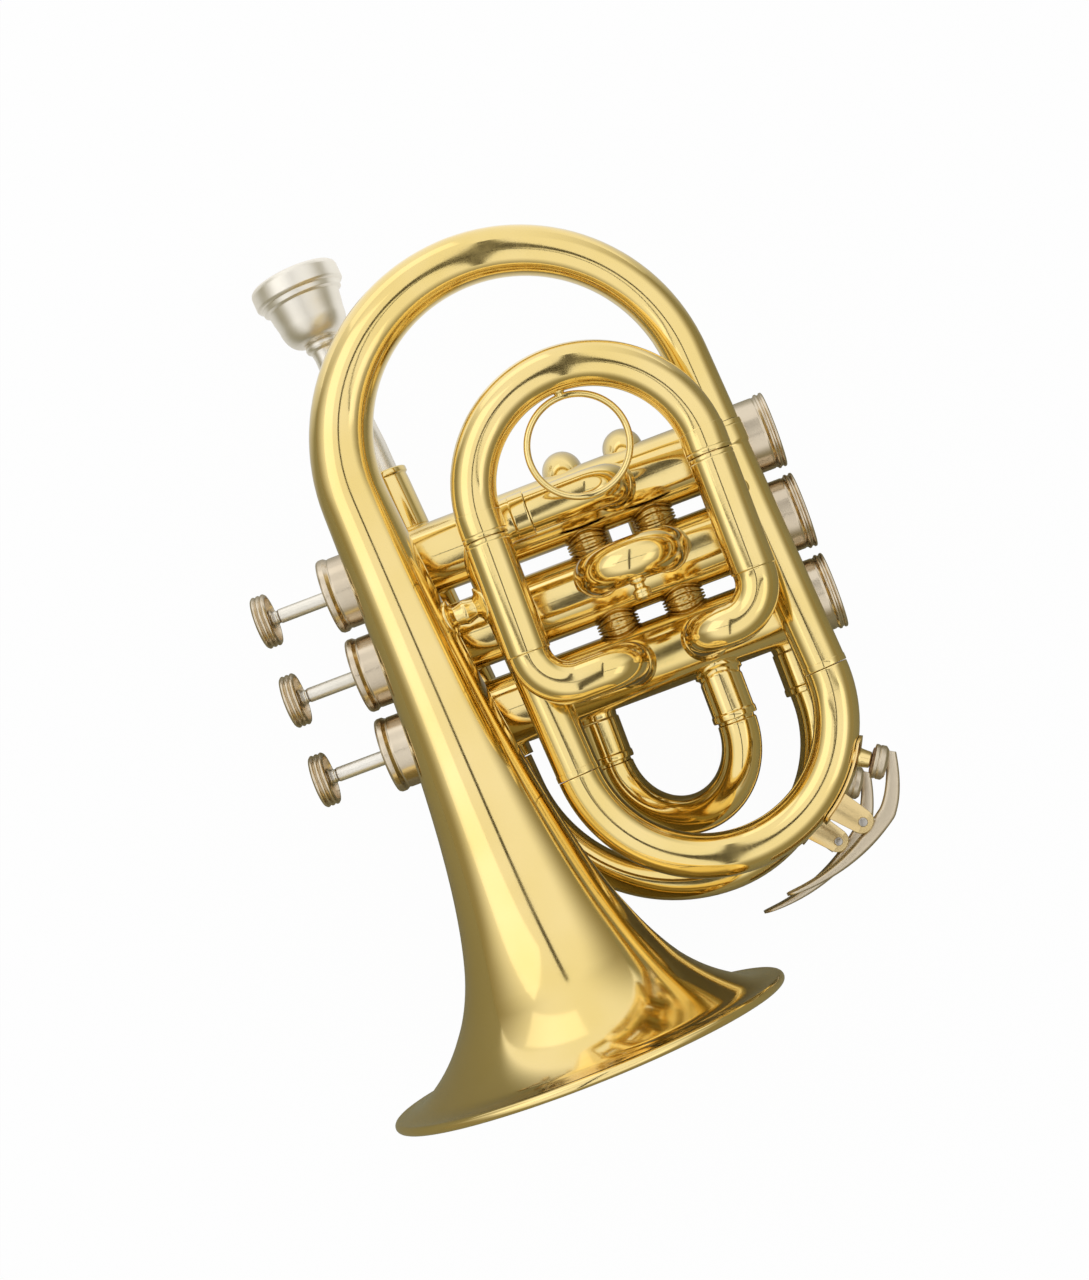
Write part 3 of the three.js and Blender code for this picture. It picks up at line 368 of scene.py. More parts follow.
for valve in (1, 2, 3):
    Piece(f"drawn_casing_{valve}").turn(valve_axis(valve), [
        (casing_top, casing_bore), (casing_top, neck_radius), (body_top, neck_radius),
        (body_top, casing_rim), (body_top + rim_length, casing_rim), (body_top + rim_length, casing_radius),
        (body_bottom - rim_length, casing_radius), (body_bottom - rim_length, casing_rim),
        (body_bottom, casing_rim), (body_bottom, neck_radius),
        (casing_bottom, neck_radius), (casing_bottom, casing_bore),
    ], sides=96).finish(f"valve_casing_{valve}")

# Stays and knuckles
# The lower row of short brass tubes carries the air from casing to casing. The upper row are solid stays.
# Each has three turned ribs and is silver-soldered into the walls. Their darker brass colour is painted
# shade, standing in for the shade between the casings.

knuckle_radius, knuckle_bore = 6.2, 4.4
upper_port, lower_port = 15.5, 35.3
rib_height, rib_length, rib_count = 0.8, 0.45, 3
foot_share, slope_share, bend_share = 0.15, 0.4, 0.6
waist_radius = knuckle_radius - rib_height
sunk = 0.2
# painted shade: a darker, duller brass colour that stands in for the shade between the casings
painted_shade_brass = polished_metal(
    "painted_shade_brass", "lacquered_brass", (0.74, 0.54, 0.20), (0.58, 0.41, 0.13), rough=0.2, coat=0.25,
)


class Seat:
    """The round wall that a form's end is bent to follow, at a distance on the form's centre line"""

    def __init__(self, radius, at=0, axis=to_caps, offset=0, hold=2.6, fade=3.0):
        self.radius, self.at, self.axis, self.offset = radius, at, axis, offset
        self.hold, self.fade = hold, fade
        self.sign = 1 if at else -1

    def shift(self, distance, spokes, heading):
        away = self.sign * (self.at - distance)
        weight = min(1, max(0, 1 - (away - self.hold) / self.fade))
        if weight == 0:
            return 0
        lateral = spokes @ unit(np.cross(heading, self.axis)) + self.offset
        drop = self.radius - np.sqrt(self.radius ** 2 - lateral ** 2)
        return self.sign * weight * drop[:, None] * heading


def backwards(points, length):
    """The points of an outline's near end, turned round to make its far end"""
    return [(length - along, radius) for along, radius in reversed(points)]


def with_bore(outside, bore):
    """A tube's closed outline, from its outside and the radius of its bore"""
    return [*outside, (outside[-1][0], bore), (outside[0][0], bore)]


for valve in (1, 2):
    start_x, end_x = valve_x(valve) + casing_radius, valve_x(valve + 1) - casing_radius
    gap = end_x - start_x
    rib_pitch = (gap - rib_length) / (rib_count + 1)
    foot = [
        (-sunk, knuckle_radius), (foot_share * rib_pitch, knuckle_radius),
        (slope_share * rib_pitch, waist_radius),
    ]
    ribs = []
    for i in range(rib_count):
        rib_start = (i + 1) * rib_pitch
        rib_end = rib_start + rib_length
        ribs += [
            (rib_start, waist_radius), (rib_start, knuckle_radius),
            (rib_end, knuckle_radius), (rib_end, waist_radius),
        ]
    outside = [*foot, *ribs, *backwards(foot, gap)]
    seats = [Seat(casing_radius, at, hold=sunk, fade=bend_share * gap) for at in (0, gap)]
    for name, height, bore in (("stay", upper_port, 0), ("knuckle", lower_port, knuckle_bore)):
        line = Line([(start_x, height, 0), (end_x, height, 0)])
        post = Piece(f"turned_{name}_{valve}_{valve + 1}")
        post.turn(line, with_bore(outside, bore), ease=0.15, seats=seats)
        post.finish(f"{name}_{valve}_{valve + 1}", look=painted_shade_brass)

# Pistons and springs
# Each piston is a ported tube of hard nickel alloy, lapped to its casing. A steel spring stands under it on
# the bottom cap and lifts it. Both are out of sight inside the casing, so the solids' own forms stay.

nickel = polished_metal("nickel_plate", "nickel", (0.76, 0.66, 0.51), (0.66, 0.56, 0.42), rough=0.2)
steel = polished_metal("spring_steel", "steel", (0.58, 0.55, 0.50), (0.46, 0.43, 0.38), rough=0.22)

for valve in (1, 2, 3):
    for node, look in ((f"piston_{valve}", nickel), (f"valve_spring_{valve}", steel)):
        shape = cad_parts[node]
        shape.data.materials.clear()
        shape.data.materials.append(look.material)

# Stems and finger buttons
# A silver-plated stem screws into each piston and carries a turned nickel button with three round ridges.
# The button is hollow underneath, round a boss that takes the stem.

stem_radius, stem_end = 2.1, -56.2
button_radius, ridge_depth = 7.8, 0.5
button_hollow, button_wall, button_dish = 2.4, 0.7, 0.35
valley_radius = button_radius - ridge_depth
flat_share, dish_share, crown_share = 0.5, 0.7, 0.84
dish_rise_share, roof_wall_share = 0.6, 1.5
boss_radius, boss_edge = 2.8, 0.3
ridge_count, ridge_steps = 3, 6
nick_start, nick_slope, nick_length, nick_depth = 1.2, 0.3, 1.0, 0.25
silver = polished_metal("silver_plate", "silver", (0.95, 0.91, 0.83), (0.85, 0.80, 0.69), rough=0.36)

for valve in (1, 2, 3):
    low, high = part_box(f"finger_button_{valve}")
    button_top, button_under = ((corner.y - origin[1]) / mm for corner in (low, high))
    hollow_roof = button_under - button_hollow
    ridge = (button_under - button_top) / ridge_count
    ridges = [
        (button_top + ridge * (i + step / ridge_steps),
         button_radius - ridge_depth * (1 - math.sin(math.pi * step / ridge_steps)))
        for i in range(ridge_count) for step in range(ridge_steps + 1)
    ]
    Piece(f"turned_button_{valve}").turn(valve_axis(valve), [
        (button_top + button_dish, 0), (button_top + button_dish, flat_share * button_radius),
        (button_top + dish_rise_share * button_dish, dish_share * button_radius),
        (button_top, crown_share * button_radius), *ridges,
        (button_under, valley_radius - button_wall),
        (hollow_roof, valley_radius - roof_wall_share * button_wall),
        (hollow_roof, boss_radius), (button_under - boss_edge, boss_radius),
        (button_under, boss_radius - boss_edge), (button_under, stem_radius),
        (hollow_roof, stem_radius), (hollow_roof, 0),
    ], ease=0, sides=72).finish(f"finger_button_{valve}", f"valve_{valve}", nickel)
    nick = button_under + nick_start
    Piece(f"plated_stem_{valve}").turn(valve_axis(valve), [
        (hollow_roof, 0), (hollow_roof, stem_radius), (nick, stem_radius),
        (nick + nick_slope, stem_radius - nick_depth),
        (nick + nick_length - nick_slope, stem_radius - nick_depth), (nick + nick_length, stem_radius),
        (stem_end, stem_radius), (stem_end, 0),
    ], ease=0.15, sides=40).finish(f"valve_stem_{valve}", f"valve_{valve}", silver)

# Caps
# Nickel-plated caps screw over both ends of each casing. Their rims are turned with beads for a grip: one on
# the top caps, which have a hole for the stem, and two on the bottom caps, which have a vent.

cap_radius, bead_radius = 10.6, 11.0
cap_bore, cap_face = 9.8, 1.6
top_face, bottom_face = -59.4, 76.0
top_cap_height, bottom_cap_height = 12.4, 12.0
stem_hole, vent_radius = 2.4, 1.6
bead_length, bead_gap = 1.1, 0.45
beads_length = 2 * (bead_length + bead_gap)
bead_fall, bead_undercut, bead_slope_share = 0.35, 0.45, 0.25
lip_length, lip_groove_at, lip_slope_at = 1.21, 1.87, 2.42
wall_radius, groove_radius, lip_radius = cap_radius - 0.05, cap_radius - 0.25, cap_radius + 0.1


def cap_outline(face, heading, height, hole, bead_count):
    """The outline of a cap from its face towards the casing"""
    beads = []
    pitch = beads_length / bead_count
    width = pitch - bead_gap
    for i in range(bead_count):
        start = i * pitch
        slope = bead_slope_share * width
        beads += [
            (start, bead_radius - bead_fall), (start + slope, bead_radius),
            (start + width - slope, bead_radius), (start + width, bead_radius - bead_undercut),
        ]
    skirt = [
        (beads_length, groove_radius), (beads_length + bead_gap, wall_radius),
        (height - lip_slope_at, wall_radius), (height - lip_groove_at, groove_radius),
        (height - lip_length, lip_radius), (height, lip_radius),
        (height, cap_bore), (cap_face, cap_bore), (cap_face, hole),
    ]
    dished_face = [
        (0.35, hole), (0.1, hole + 0.4), (0.55, hole + 1.6), (0.5, cap_radius - 3.2), (0, cap_radius - 1.4),
    ]
    return [(face + heading * along, radius) for along, radius in beads + skirt + dished_face]


for valve in (1, 2, 3):
    for name, face, heading, height, hole, bead_count in (
        ("top_cap", top_face, 1, top_cap_height, stem_hole, 1),
        ("bottom_cap", bottom_face, -1, bottom_cap_height, vent_radius, 2),
    ):
        cap = Piece(f"screwed_{name}_{valve}")
        cap.turn(valve_axis(valve), cap_outline(face, heading, height, hole, bead_count), ease=0.12, sides=96)
        cap.finish(f"{name}_{valve}", look=nickel)

# Bell
# The bell is hammered and spun from one sheet of yellow brass on a mandrel, bent round in the rear bow, and
# its rim is rolled over a wire. It runs into the side tube at a soldered joint beside the valves.

loop_level = 24
loop_tilt = math.radians(3.3)
bell_across, side_across, return_across = -37.3, 61.8, -10.8
bell_rim_at, bell_rim_drop = 117.8, 1
rim_inset = 0.04
flare_corner_at, flare_bend_radius = 93, 400
rim_radius, rim_wire_radius = 56.5, 1.3
rim_clearance = 2.1 * rim_wire_radius
bell_wall = 0.8
flare_offset, flare_exponent = 14, 0.7
slope_step = 0.1
rear_bow_at, rear_joint_at = -45.6, -24.5
rear_bow_radius = (side_across - bell_across) / 2
tube_radius, tube_bore = 6.2, 5.6
flare_rings, flare_ring_power = 90, 2.0


def level_heading(angle):
    """A level direction, turned by an angle from forward"""
    return np.array([math.cos(angle), math.sin(angle), 0])


loop_heading, loop_sideways = level_heading(loop_tilt), level_heading(loop_tilt + math.pi / 2)


def in_loop(along, across):
    """A place in the slanted plane of the bell and its loop of tubing"""
    return along * loop_heading + across * loop_sideways + loop_level * upward


bell_line = Line([
    in_loop(bell_rim_at, bell_across - bell_rim_drop),
    in_loop(flare_corner_at, bell_across),
    in_loop(rear_bow_at - rear_bow_radius, bell_across),
    in_loop(rear_bow_at - rear_bow_radius, side_across),
    in_loop(rear_joint_at, side_across),
], [flare_bend_radius, rear_bow_radius, rear_bow_radius])


def horn_radius(distance):
    horn = rim_radius * (flare_offset / (distance + flare_offset)) ** flare_exponent
    return max(horn, tube_radius)


def inside_of_horn(distance):
    slope = (horn_radius(distance + slope_step) - horn_radius(distance)) / slope_step
    steepness = math.hypot(1, slope)
    return distance + bell_wall * slope / steepness, horn_radius(distance) - bell_wall / steepness


rim_turns = [math.radians(degrees) for degrees in range(200, -21, -20)]
rim = [
    (rim_inset + rim_wire_radius * (1 + math.cos(turn)), rim_radius - rim_wire_radius * (1 - math.sin(turn)))
    for turn in rim_turns
]
spread = [((i + 1) / flare_rings) ** flare_ring_power * bell_line.length for i in range(flare_rings)]
spread = [distance for distance in spread if distance > rim_clearance]
Piece("spun_bell").turn(bell_line, [
    *rim,
    *[(distance, horn_radius(distance)) for distance in spread],
    *[inside_of_horn(distance) for distance in reversed(spread)],
], ease=0, sides=160).finish("bell")

# Side tube and front bow
# A ferrule joins the bell's tail to the straight side tube. The front bow is bent from tube of the same width
# and carries the nipple of the first water key on its outer side.

seam = 0.15
front_bow_at = 47.3
front_bow_radius = (side_across - return_across) / 2
ferrule_length, side_ferrule_radius = 7, tube_radius + 0.45
ferrule_edge, ferrule_line_at, ferrule_slope = 1.2, 1.5, 0.8
collar_length, collar_radius = 1.8, tube_radius + 0.14
key_cup_angle = math.radians(57)
nipple_height, drain_radius = 3.8, 1.3
nipple_outside = [(-0.5, 3.5), (0.25, 3.4), (1.0, 2.6), (nipple_height, 2.2)]


def groove(at, radius, depth=0.16, width=0.4):
    """A fine line cut round an outline, as where one tube ends on another"""
    return [(at - width / 2, radius), (at, radius - depth), (at + width / 2, radius)]


def collar(end):
    """The raised band at a tube's end"""
    return [(end - collar_length, tube_radius), (end - collar_length, collar_radius), (end, collar_radius)]


def bow_line(first, second, heading, bow_at):
    """Two level legs joined by a half-turn bow whose centre lies at a distance along the legs' heading"""
    first, second, heading = (np.array(value, float) for value in (first, second, heading))
    span = second - first
    radius = np.linalg.norm(span - heading * (span @ heading)) / 2
    corners = [end + heading * (bow_at + radius - end @ heading) for end in (first, second)]
    return Line([first, *corners, second], [radius, radius])


def drained_bow(name, node, line, centre, bow_radius, radius, bore):
    """A bow of plain tube, with a drain nipple on its outer side that is flared where it meets the tube"""
    outward = level_heading(key_cup_angle)
    foot = centre + outward * (bow_radius + radius)
    nipple_line = Line([foot, foot + outward])
    seat = Seat(radius, axis=level_heading(key_cup_angle + math.pi / 2), hold=0.6, fade=1.0)
    bow = Piece(name)
    bow.turn(line, with_bore([(0, radius), (line.length, radius)], bore))
    bow.turn(nipple_line, with_bore(nipple_outside, drain_radius), sides=40, seats=[seat])
    bow.finish(node)


side_line = Line([in_loop(rear_joint_at + seam, side_across), in_loop(front_bow_at, side_across)])
Piece("drawn_side_tube").turn(side_line, with_bore([
    (0, side_ferrule_radius), (ferrule_edge, side_ferrule_radius),
    *groove(ferrule_line_at, side_ferrule_radius), (ferrule_length - ferrule_slope, side_ferrule_radius),
    (ferrule_length, tube_radius), *collar(side_line.length),
], tube_bore), ease=0.25).finish("bell_side_tube")

front_line = bow_line(
    in_loop(front_bow_at + seam, side_across),
    in_loop(front_bow_at + seam, return_across),
    loop_heading,
    front_bow_at + seam,
)
front_centre = in_loop(front_bow_at + 2 * seam, (side_across + return_across) / 2)
drained_bow(
    "bent_front_bow", "bell_front_bow", front_line, front_centre, front_bow_radius,
    tube_radius, tube_bore,
)

# Return tube and elbow
# The tube comes back from the front bow beside the bell and turns down over the first valve. A separate elbow
# takes it into that casing, where a spread flange is soldered to the wall.

return_bend_radius = 10
return_joint, return_port = 4, 27.4
return_drop_radius = 7
return_lip, return_lip_slope = 4.6, 0.4
elbow_radius, elbow_bore = 5.8, 5.1
flange_width, flange_height = 1.1, 2.2
flange_edge, flange_curve = 0.7, 1.2
curve_rise = 0.3

return_corner_along = (valve_x(1) + return_across * math.sin(loop_tilt)) / math.cos(loop_tilt)
return_line = Line([
    in_loop(front_bow_at, return_across),
    in_loop(return_corner_along, return_across),
    (valve_x(1), return_joint, loop_level),
], [return_bend_radius])
return_end = return_line.length
Piece("bent_return_tube").turn(return_line, with_bore([
    *backwards(collar(return_end), return_end),
    (return_end - return_lip, tube_radius), (return_end - return_lip + return_lip_slope, collar_radius),
    (return_end, collar_radius),
], tube_bore)).finish("bell_return_tube")


def flange(radius):
    """The spread foot of a tube on a casing"""
    foot_radius = radius + flange_width
    return [
        (-sunk, foot_radius), (flange_edge, foot_radius), (flange_curve, radius + curve_rise),
        (flange_height, radius),
    ]


elbow_line = Line([
    (valve_x(1), return_port, casing_radius),
    (valve_x(1), return_port, loop_level),
    (valve_x(1), return_joint + seam, loop_level),
], [return_drop_radius])
Piece("bent_return_elbow").turn(elbow_line, with_bore([
    *flange(elbow_radius), (elbow_line.length, elbow_radius),
], elbow_bore), seats=[Seat(casing_radius)]).finish("return_elbow")

# Mouthpiece
# One piece of silver-plated brass, turned in a lathe: a flat-topped rim, a bowl-shaped cup, a bead under it,
# and a long shank that pushes into the receiver.

lead_axis, lead_tilt = -30.6, math.radians(4.4)
lead_level = -18.85
mouthpiece_length, mouthpiece_radius = 87, 13.65
receiver_mouth_x, receiver_end_x = -54.6, -30
shank_stop = 2.65
mouthpiece_rim_x = receiver_end_x - shank_stop - mouthpiece_length * math.cos(lead_tilt)
shank_radius, shank_bore = 4.8, 3.8
throat_at, throat_radius = 24, 1.9
bowl_at, bowl_depth, bowl_foot_radius, bowl_swell = 14, 7.2, 4.9, 5.4
cup_depth, cup_swell = 12, 7.0
bowl_power, cup_power = 0.8, 0.7
cup_steps = 10


def on_lead(x):
    """A place on the slanted axis of the mouthpiece and leadpipe"""
    return np.array([x, lead_axis + x * math.tan(lead_tilt), lead_level])


lead_heading = level_heading(lead_tilt)
quarter = [math.pi / 2 * i / cup_steps for i in range(cup_steps + 1)]
bowl = [
    (bowl_at + bowl_depth * math.sin(turn), bowl_foot_radius + bowl_swell * math.cos(turn) ** bowl_power)
    for turn in quarter
]
cup = [
    (cup_depth * math.cos(turn), throat_radius + cup_swell * math.sin(turn) ** cup_power) for turn in quarter
]
cup_lip = (0.6, 9.3)
rim_face = [(0.25, 9.9), (0, 10.6), (0, 11.6), (0.3, 12.6), (0.9, 13.3), (1.8, 13.62)]
under_rim = [(5.9, mouthpiece_radius), (6.5, 13.2), (6.7, 12.5), (8.2, 12.3), (8.7, 11.2), (11.5, 10.8)]
bead = [(21.9, 5.3), (22.8, 5.5), (23.6, 5.2), (24.2, 4.4), (26, 4.1)]
shank = [(52, shank_radius - 0.2), (56, shank_radius), (mouthpiece_length, shank_radius - 0.3)]
Piece("turned_mouthpiece").turn(Line([on_lead(mouthpiece_rim_x), on_lead(receiver_mouth_x)]), [
    *rim_face, *under_rim, *bowl, *bead, *shank,
    (mouthpiece_length, shank_bore), (throat_at, throat_radius), *cup, cup_lip,
], ease=0.15, sides=96).finish("mouthpiece", "mouthpiece", silver)

# Receiver and leadpipe
# The receiver is a stepped brass socket for the shank, with a rounded ring at its mouth. The leadpipe is
# drawn with a slight taper and ends in a ferrule that takes the leadpipe bow.

receiver_radius, receiver_bore = 6.6, 5.1
mouth_ring_radius, mouth_ring_groove = 7.1, 6.5
step_at, step_line_at, nose_at = 6.5, 6.2, 2.2
nose_radius = 5.4
lead_start_radius, lead_radius, lead_wall = 5.0, 5.4, 0.6
lead_joint_x = 38
lead_ferrule_slope, lead_line_at = 0.5, 5.4
receiver_line = Line([on_lead(receiver_mouth_x), on_lead(receiver_end_x)])
receiver_length = receiver_line.length
Piece("turned_receiver").turn(receiver_line, [
    (0, receiver_bore), (0, receiver_radius), (0.3, mouth_ring_radius), (1.7, mouth_ring_radius),
    (2.2, mouth_ring_groove), (3.6, receiver_radius), (receiver_length - step_at, receiver_radius),
    *groove(receiver_length - step_line_at, receiver_radius, depth=0.3),
    (receiver_length - nose_at, receiver_radius), (receiver_length, nose_radius),
    (receiver_length, receiver_bore),
]).finish("mouthpiece_receiver")

lead_line = Line([on_lead(receiver_end_x + 2 * seam), on_lead(lead_joint_x)])
lead_end = lead_line.length
Piece("drawn_leadpipe").turn(lead_line, [
    (0, lead_start_radius), (lead_end - ferrule_length, lead_radius),
    (lead_end - ferrule_length + lead_ferrule_slope, tube_radius),
    *groove(lead_end - lead_line_at, tube_radius),
    (lead_end, tube_radius), (lead_end, lead_radius - lead_wall), (0, lead_start_radius - lead_wall),
]).finish("leadpipe")

# Leadpipe bow
# The widest bow in front sweeps round to the tuning slide's inlet. It carries the second water key's nipple.

inlet_across = 59.6
lead_bow_x, lead_bow_radius = 90.1, 39.8
tuning_mouth_x = 48.5
inlet_engaged = 7
slide_radius, slide_bore = 5.3, 4.7
lead_turn = math.pi / 2 - lead_tilt
lead_first_radius = (inlet_across - on_lead(lead_bow_x)[1] - lead_bow_radius) / math.tan(lead_turn / 2)
lead_bow_line = Line([
    on_lead(lead_joint_x + 2 * seam),
    on_lead(lead_bow_x),
    (lead_bow_x, inlet_across, lead_level),
    (tuning_mouth_x - inlet_engaged, inlet_across, lead_level),
], [lead_first_radius, lead_bow_radius])
lead_centre = np.array([lead_bow_x - lead_bow_radius, inlet_across - lead_bow_radius, lead_level])
drained_bow(
    "bent_leadpipe_bow", "leadpipe_bow", lead_bow_line, lead_centre, lead_bow_radius,
    slide_radius, slide_bore,
)

# Main tuning slide with its inlet and outlet
# The inlet tube turns back behind the third casing to the slide's upper sleeve, and the lower sleeve is
# soldered to that casing. The slide's thin inner legs run in both, and its bow is a little wider than they.

tuning_upper, tuning_lower = -0.6, 37.2
tuning_sleeve_x = 36
tuning_cross_radius = 11.8
tuning_engaged, tuning_stand = 9, 0.8
sleeve_reach = tuning_mouth_x - tuning_sleeve_x
sleeve_slope, bore_slope, outlet_slope = 0.3, 0.4, 1
mouth_height, mouth_length = 0.3, 1.8
mouth_slope, mouth_edge, mouth_lip = 0.5, 0.4, 0.1
tuning_bow_radius = slide_radius + 0.4

inlet_line = Line([
    (tuning_mouth_x, inlet_across, lead_level),
    (valve_x(3), inlet_across, lead_level),
    (valve_x(3), tuning_upper, lead_level),
    (tuning_mouth_x, tuning_upper, lead_level),
], [tuning_cross_radius, tuning_cross_radius])


def sleeve_mouth(length, radius=tube_radius):
    """The collar round a sleeve's mouth, sloped on its inner side"""
    return [
        (length - mouth_length - mouth_slope, radius), (length - mouth_length, radius + mouth_height),
        (length - mouth_edge, radius + mouth_height), (length, radius + mouth_lip),
    ]


def both_ends(half, length):
    """One end of an outline and the same end turned round"""
    return [*half, *backwards(half, length)]


inlet_end = inlet_line.length
inlet_outside = [
    *backwards(sleeve_mouth(inlet_end), inlet_end),
    (sleeve_reach, tube_radius), (sleeve_reach + sleeve_slope, elbow_radius),
]
inlet_inside = [(0, tube_bore), (sleeve_reach, tube_bore), (sleeve_reach + bore_slope, elbow_bore)]
Piece("bent_tuning_inlet").turn(inlet_line, [
    *both_ends(inlet_outside, inlet_end), *reversed(both_ends(inlet_inside, inlet_end)),
]).finish("tuning_inlet_tube")

outlet_line = Line([(valve_x(3) + casing_radius, tuning_lower, 0), (tuning_mouth_x, tuning_lower, 0)])
outlet_step = outlet_line.length - sleeve_reach
Piece("drawn_tuning_outlet").turn(outlet_line, with_bore([
    *flange(elbow_radius), (outlet_step, elbow_radius), (outlet_step + outlet_slope, tube_radius),
    *sleeve_mouth(outlet_line.length),
], slide_radius + seam), seats=[Seat(casing_radius)]).finish("tuning_outlet_sleeve")

tuning_leg_x = tuning_mouth_x - tuning_engaged
tuning_line = bow_line(
    (tuning_leg_x, tuning_upper, lead_level),
    (tuning_leg_x, tuning_lower, 0),
    forward,
    tuning_mouth_x + tuning_stand,
)
tuning_leg = tuning_engaged + tuning_stand
tuning_half = [(0, slide_radius), (tuning_leg, slide_radius), (tuning_leg + sleeve_slope, tuning_bow_radius)]
Piece("bent_tuning_slide").turn(
    tuning_line, with_bore(both_ends(tuning_half, tuning_line.length), slide_bore),
).finish("tuning_slide", "tuning_slide")

# Third valve slide
# Its two sleeves rise from the third casing and turn back beside the valves. The long bow is the part that
# the player moves: inner legs, a ferrule on each and a wide bow with a wire ring for the finger.

third_level = 38
third_upper, third_lower = -8.5, 55.3
third_mouth_x, third_sleeve_x, third_bow_x = -20, 12.5, -24.4
third_drop_radius = 7.2
third_engaged = 26
third_bend_radius = third_lower - tuning_lower - third_drop_radius
third_reach = third_sleeve_x - third_mouth_x
line_inset, bore_step = 1.2, 3
third_slope = 0.15


def stepped_bore(outside, sleeve_start):
    """A sleeve's closed outline, whose bore narrows beyond the stretch that takes the slide"""
    step = sleeve_start + bore_step
    return [
        *outside, (outside[-1][0], tube_bore), (step, tube_bore), (step - bore_slope, elbow_bore),
        (outside[0][0], elbow_bore),
    ]


for row, across, port in (("upper", third_upper, upper_port), ("lower", third_lower, tuning_lower)):
    line = Line([
        (valve_x(3), port, casing_radius),
        (valve_x(3), port, third_level),
        (valve_x(3), across, third_level),
        (third_mouth_x, across, third_level),
    ], [third_drop_radius, third_bend_radius])
    sleeve_start = line.length - third_reach
    Piece(f"bent_third_{row}_sleeve").turn(line, stepped_bore([
        *flange(elbow_radius), (sleeve_start, elbow_radius), (sleeve_start + third_slope, tube_radius),
        *groove(line.length - line_inset, tube_radius), (line.length, tube_radius),
    ], sleeve_start), seats=[Seat(casing_radius)]).finish(f"third_slide_{row}_sleeve")

third_end_x = third_mouth_x + third_engaged
third_line = bow_line(
    (third_end_x, third_upper, third_level),
    (third_end_x, third_lower, third_level),
    -forward,
    -third_bow_x,
)
third_leg = third_engaged + 2 * seam
third_half = [
    (0, slide_radius), (third_leg, slide_radius), (third_leg, collar_radius),
    *groove(third_leg + line_inset, collar_radius), (third_leg + ferrule_length, collar_radius),
    (third_leg + ferrule_length, tube_radius),
]
Piece("bent_third_slide").turn(
    third_line, with_bore(both_ends(third_half, third_line.length), slide_bore), ease=0.15,
).finish("third_slide", "third_slide")

# Finger ring
# A ring of bent brass wire, soldered to the inside of the third slide's bow by a small foot.

ring_radius, ring_wire = 13.8, 0.95
ring_stand = 1.3
wire_steps = 16
ring_foot_outline = [(-0.3, 0), (-0.3, 1.7), (0.2, 1.5), (0.7, 1.1), (1.5, 1.0), (1.5, 0)]
third_bow_radius = (third_lower - third_upper) / 2
bow_inside_x = third_bow_x - third_bow_radius + tube_radius
ring_foot = np.array([bow_inside_x, (third_upper + third_lower) / 2, third_level])
ring_centre = ring_foot + forward * (ring_stand + ring_radius)
wire_turns = [2 * math.pi * i / wire_steps for i in range(wire_steps)]
ring = Piece("bent_finger_ring")
ring.turn(Line([ring_centre, ring_centre + upward]), [
    (ring_wire * math.sin(turn), ring_radius + ring_wire * math.cos(turn)) for turn in wire_turns
], ease=0, sides=120)
foot_line = Line([ring_foot, ring_foot + forward])
ring.turn(foot_line, ring_foot_outline, ease=0.15, sides=32, seats=[Seat(tube_radius)])
ring.finish("third_slide_ring", "third_slide")

# Second valve slide
# Two short brass sleeves stand on the middle casing, spread and soldered at the foot. They take the legs of a
# small bow, which is pulled by a turned knob.

second_x = -2
second_mouth_level, second_engaged, second_stand = 19, 7, 0.5
knob_radius, knob_neck, knob_end = 2.6, 1.5, 1.4
knob_edge, knob_groove = knob_radius - 0.2, knob_radius - 0.3
knob_outline = [
    (-0.6, 0), (-0.6, 2.6), (0.4, 2.2), (0.8, knob_neck), (1.8, knob_neck), (2.4, knob_edge),
    (3.0, knob_radius), (3.5, knob_groove), (4.1, knob_radius), (4.7, knob_edge), (5.3, knob_end), (5.4, 0),
]
second_bow_radius = (lower_port - upper_port) / 2

for row, port in (("upper", upper_port), ("lower", lower_port)):
    line = Line([(second_x, port, casing_radius), (second_x, port, second_mouth_level)])
    Piece(f"drawn_second_{row}_sleeve").turn(line, with_bore([
        *flange(tube_radius), *sleeve_mouth(line.length),
    ], tube_bore), seats=[Seat(casing_radius, offset=second_x)]).finish(f"second_slide_{row}_sleeve")

second_leg_level = second_mouth_level - second_engaged
second_bow_level = second_mouth_level + second_stand
second_line = bow_line(
    (second_x, upper_port, second_leg_level),
    (second_x, lower_port, second_leg_level),
    upward,
    second_bow_level,
)
second_leg = second_engaged + 2 * seam
second_half = [(0, slide_radius), (second_leg, slide_radius), (second_leg, tube_radius)]
knob_foot = np.array([
    second_x + tube_radius, upper_port + second_bow_radius, second_bow_level + second_bow_radius,
])
second_slide = Piece("bent_second_slide")
second_slide.turn(second_line, with_bore(both_ends(second_half, second_line.length), slide_bore))
second_slide.turn(Line([knob_foot, knob_foot + forward]), knob_outline, sides=40)
second_slide.finish("second_slide", "second_slide")

# First valve slide
# Its sleeves leave the first casing at the back, bend straight down and fold back behind the valves, where
# the bow pulls forward. The sleeves' ends are trimmed to the casing's wall before they are soldered.

first_lower_port = 34
first_leg_x, first_bend_radius = -35, 7
first_mouth_x, first_sleeve_x, first_bow_x = -10, -25, -9
first_engaged = 11
first_level = loop_level - rim_radius + tube_radius + mouth_height
first_reach = first_mouth_x - first_sleeve_x
casing_space = casing_radius - sunk


def trimmed(piece, cutter):
    """Takes one shape out of another and leaves the plain mesh"""
    modifier = piece.modifiers.new("trim", "BOOLEAN")
    modifier.object, modifier.operation, modifier.solver = cutter, "DIFFERENCE", "EXACT"
    view = bpy.context.evaluated_depsgraph_get()
    mesh = bpy.data.meshes.new_from_object(piece.evaluated_get(view))
    piece.modifiers.clear()
    piece.data = mesh
    bpy.data.objects.remove(cutter)


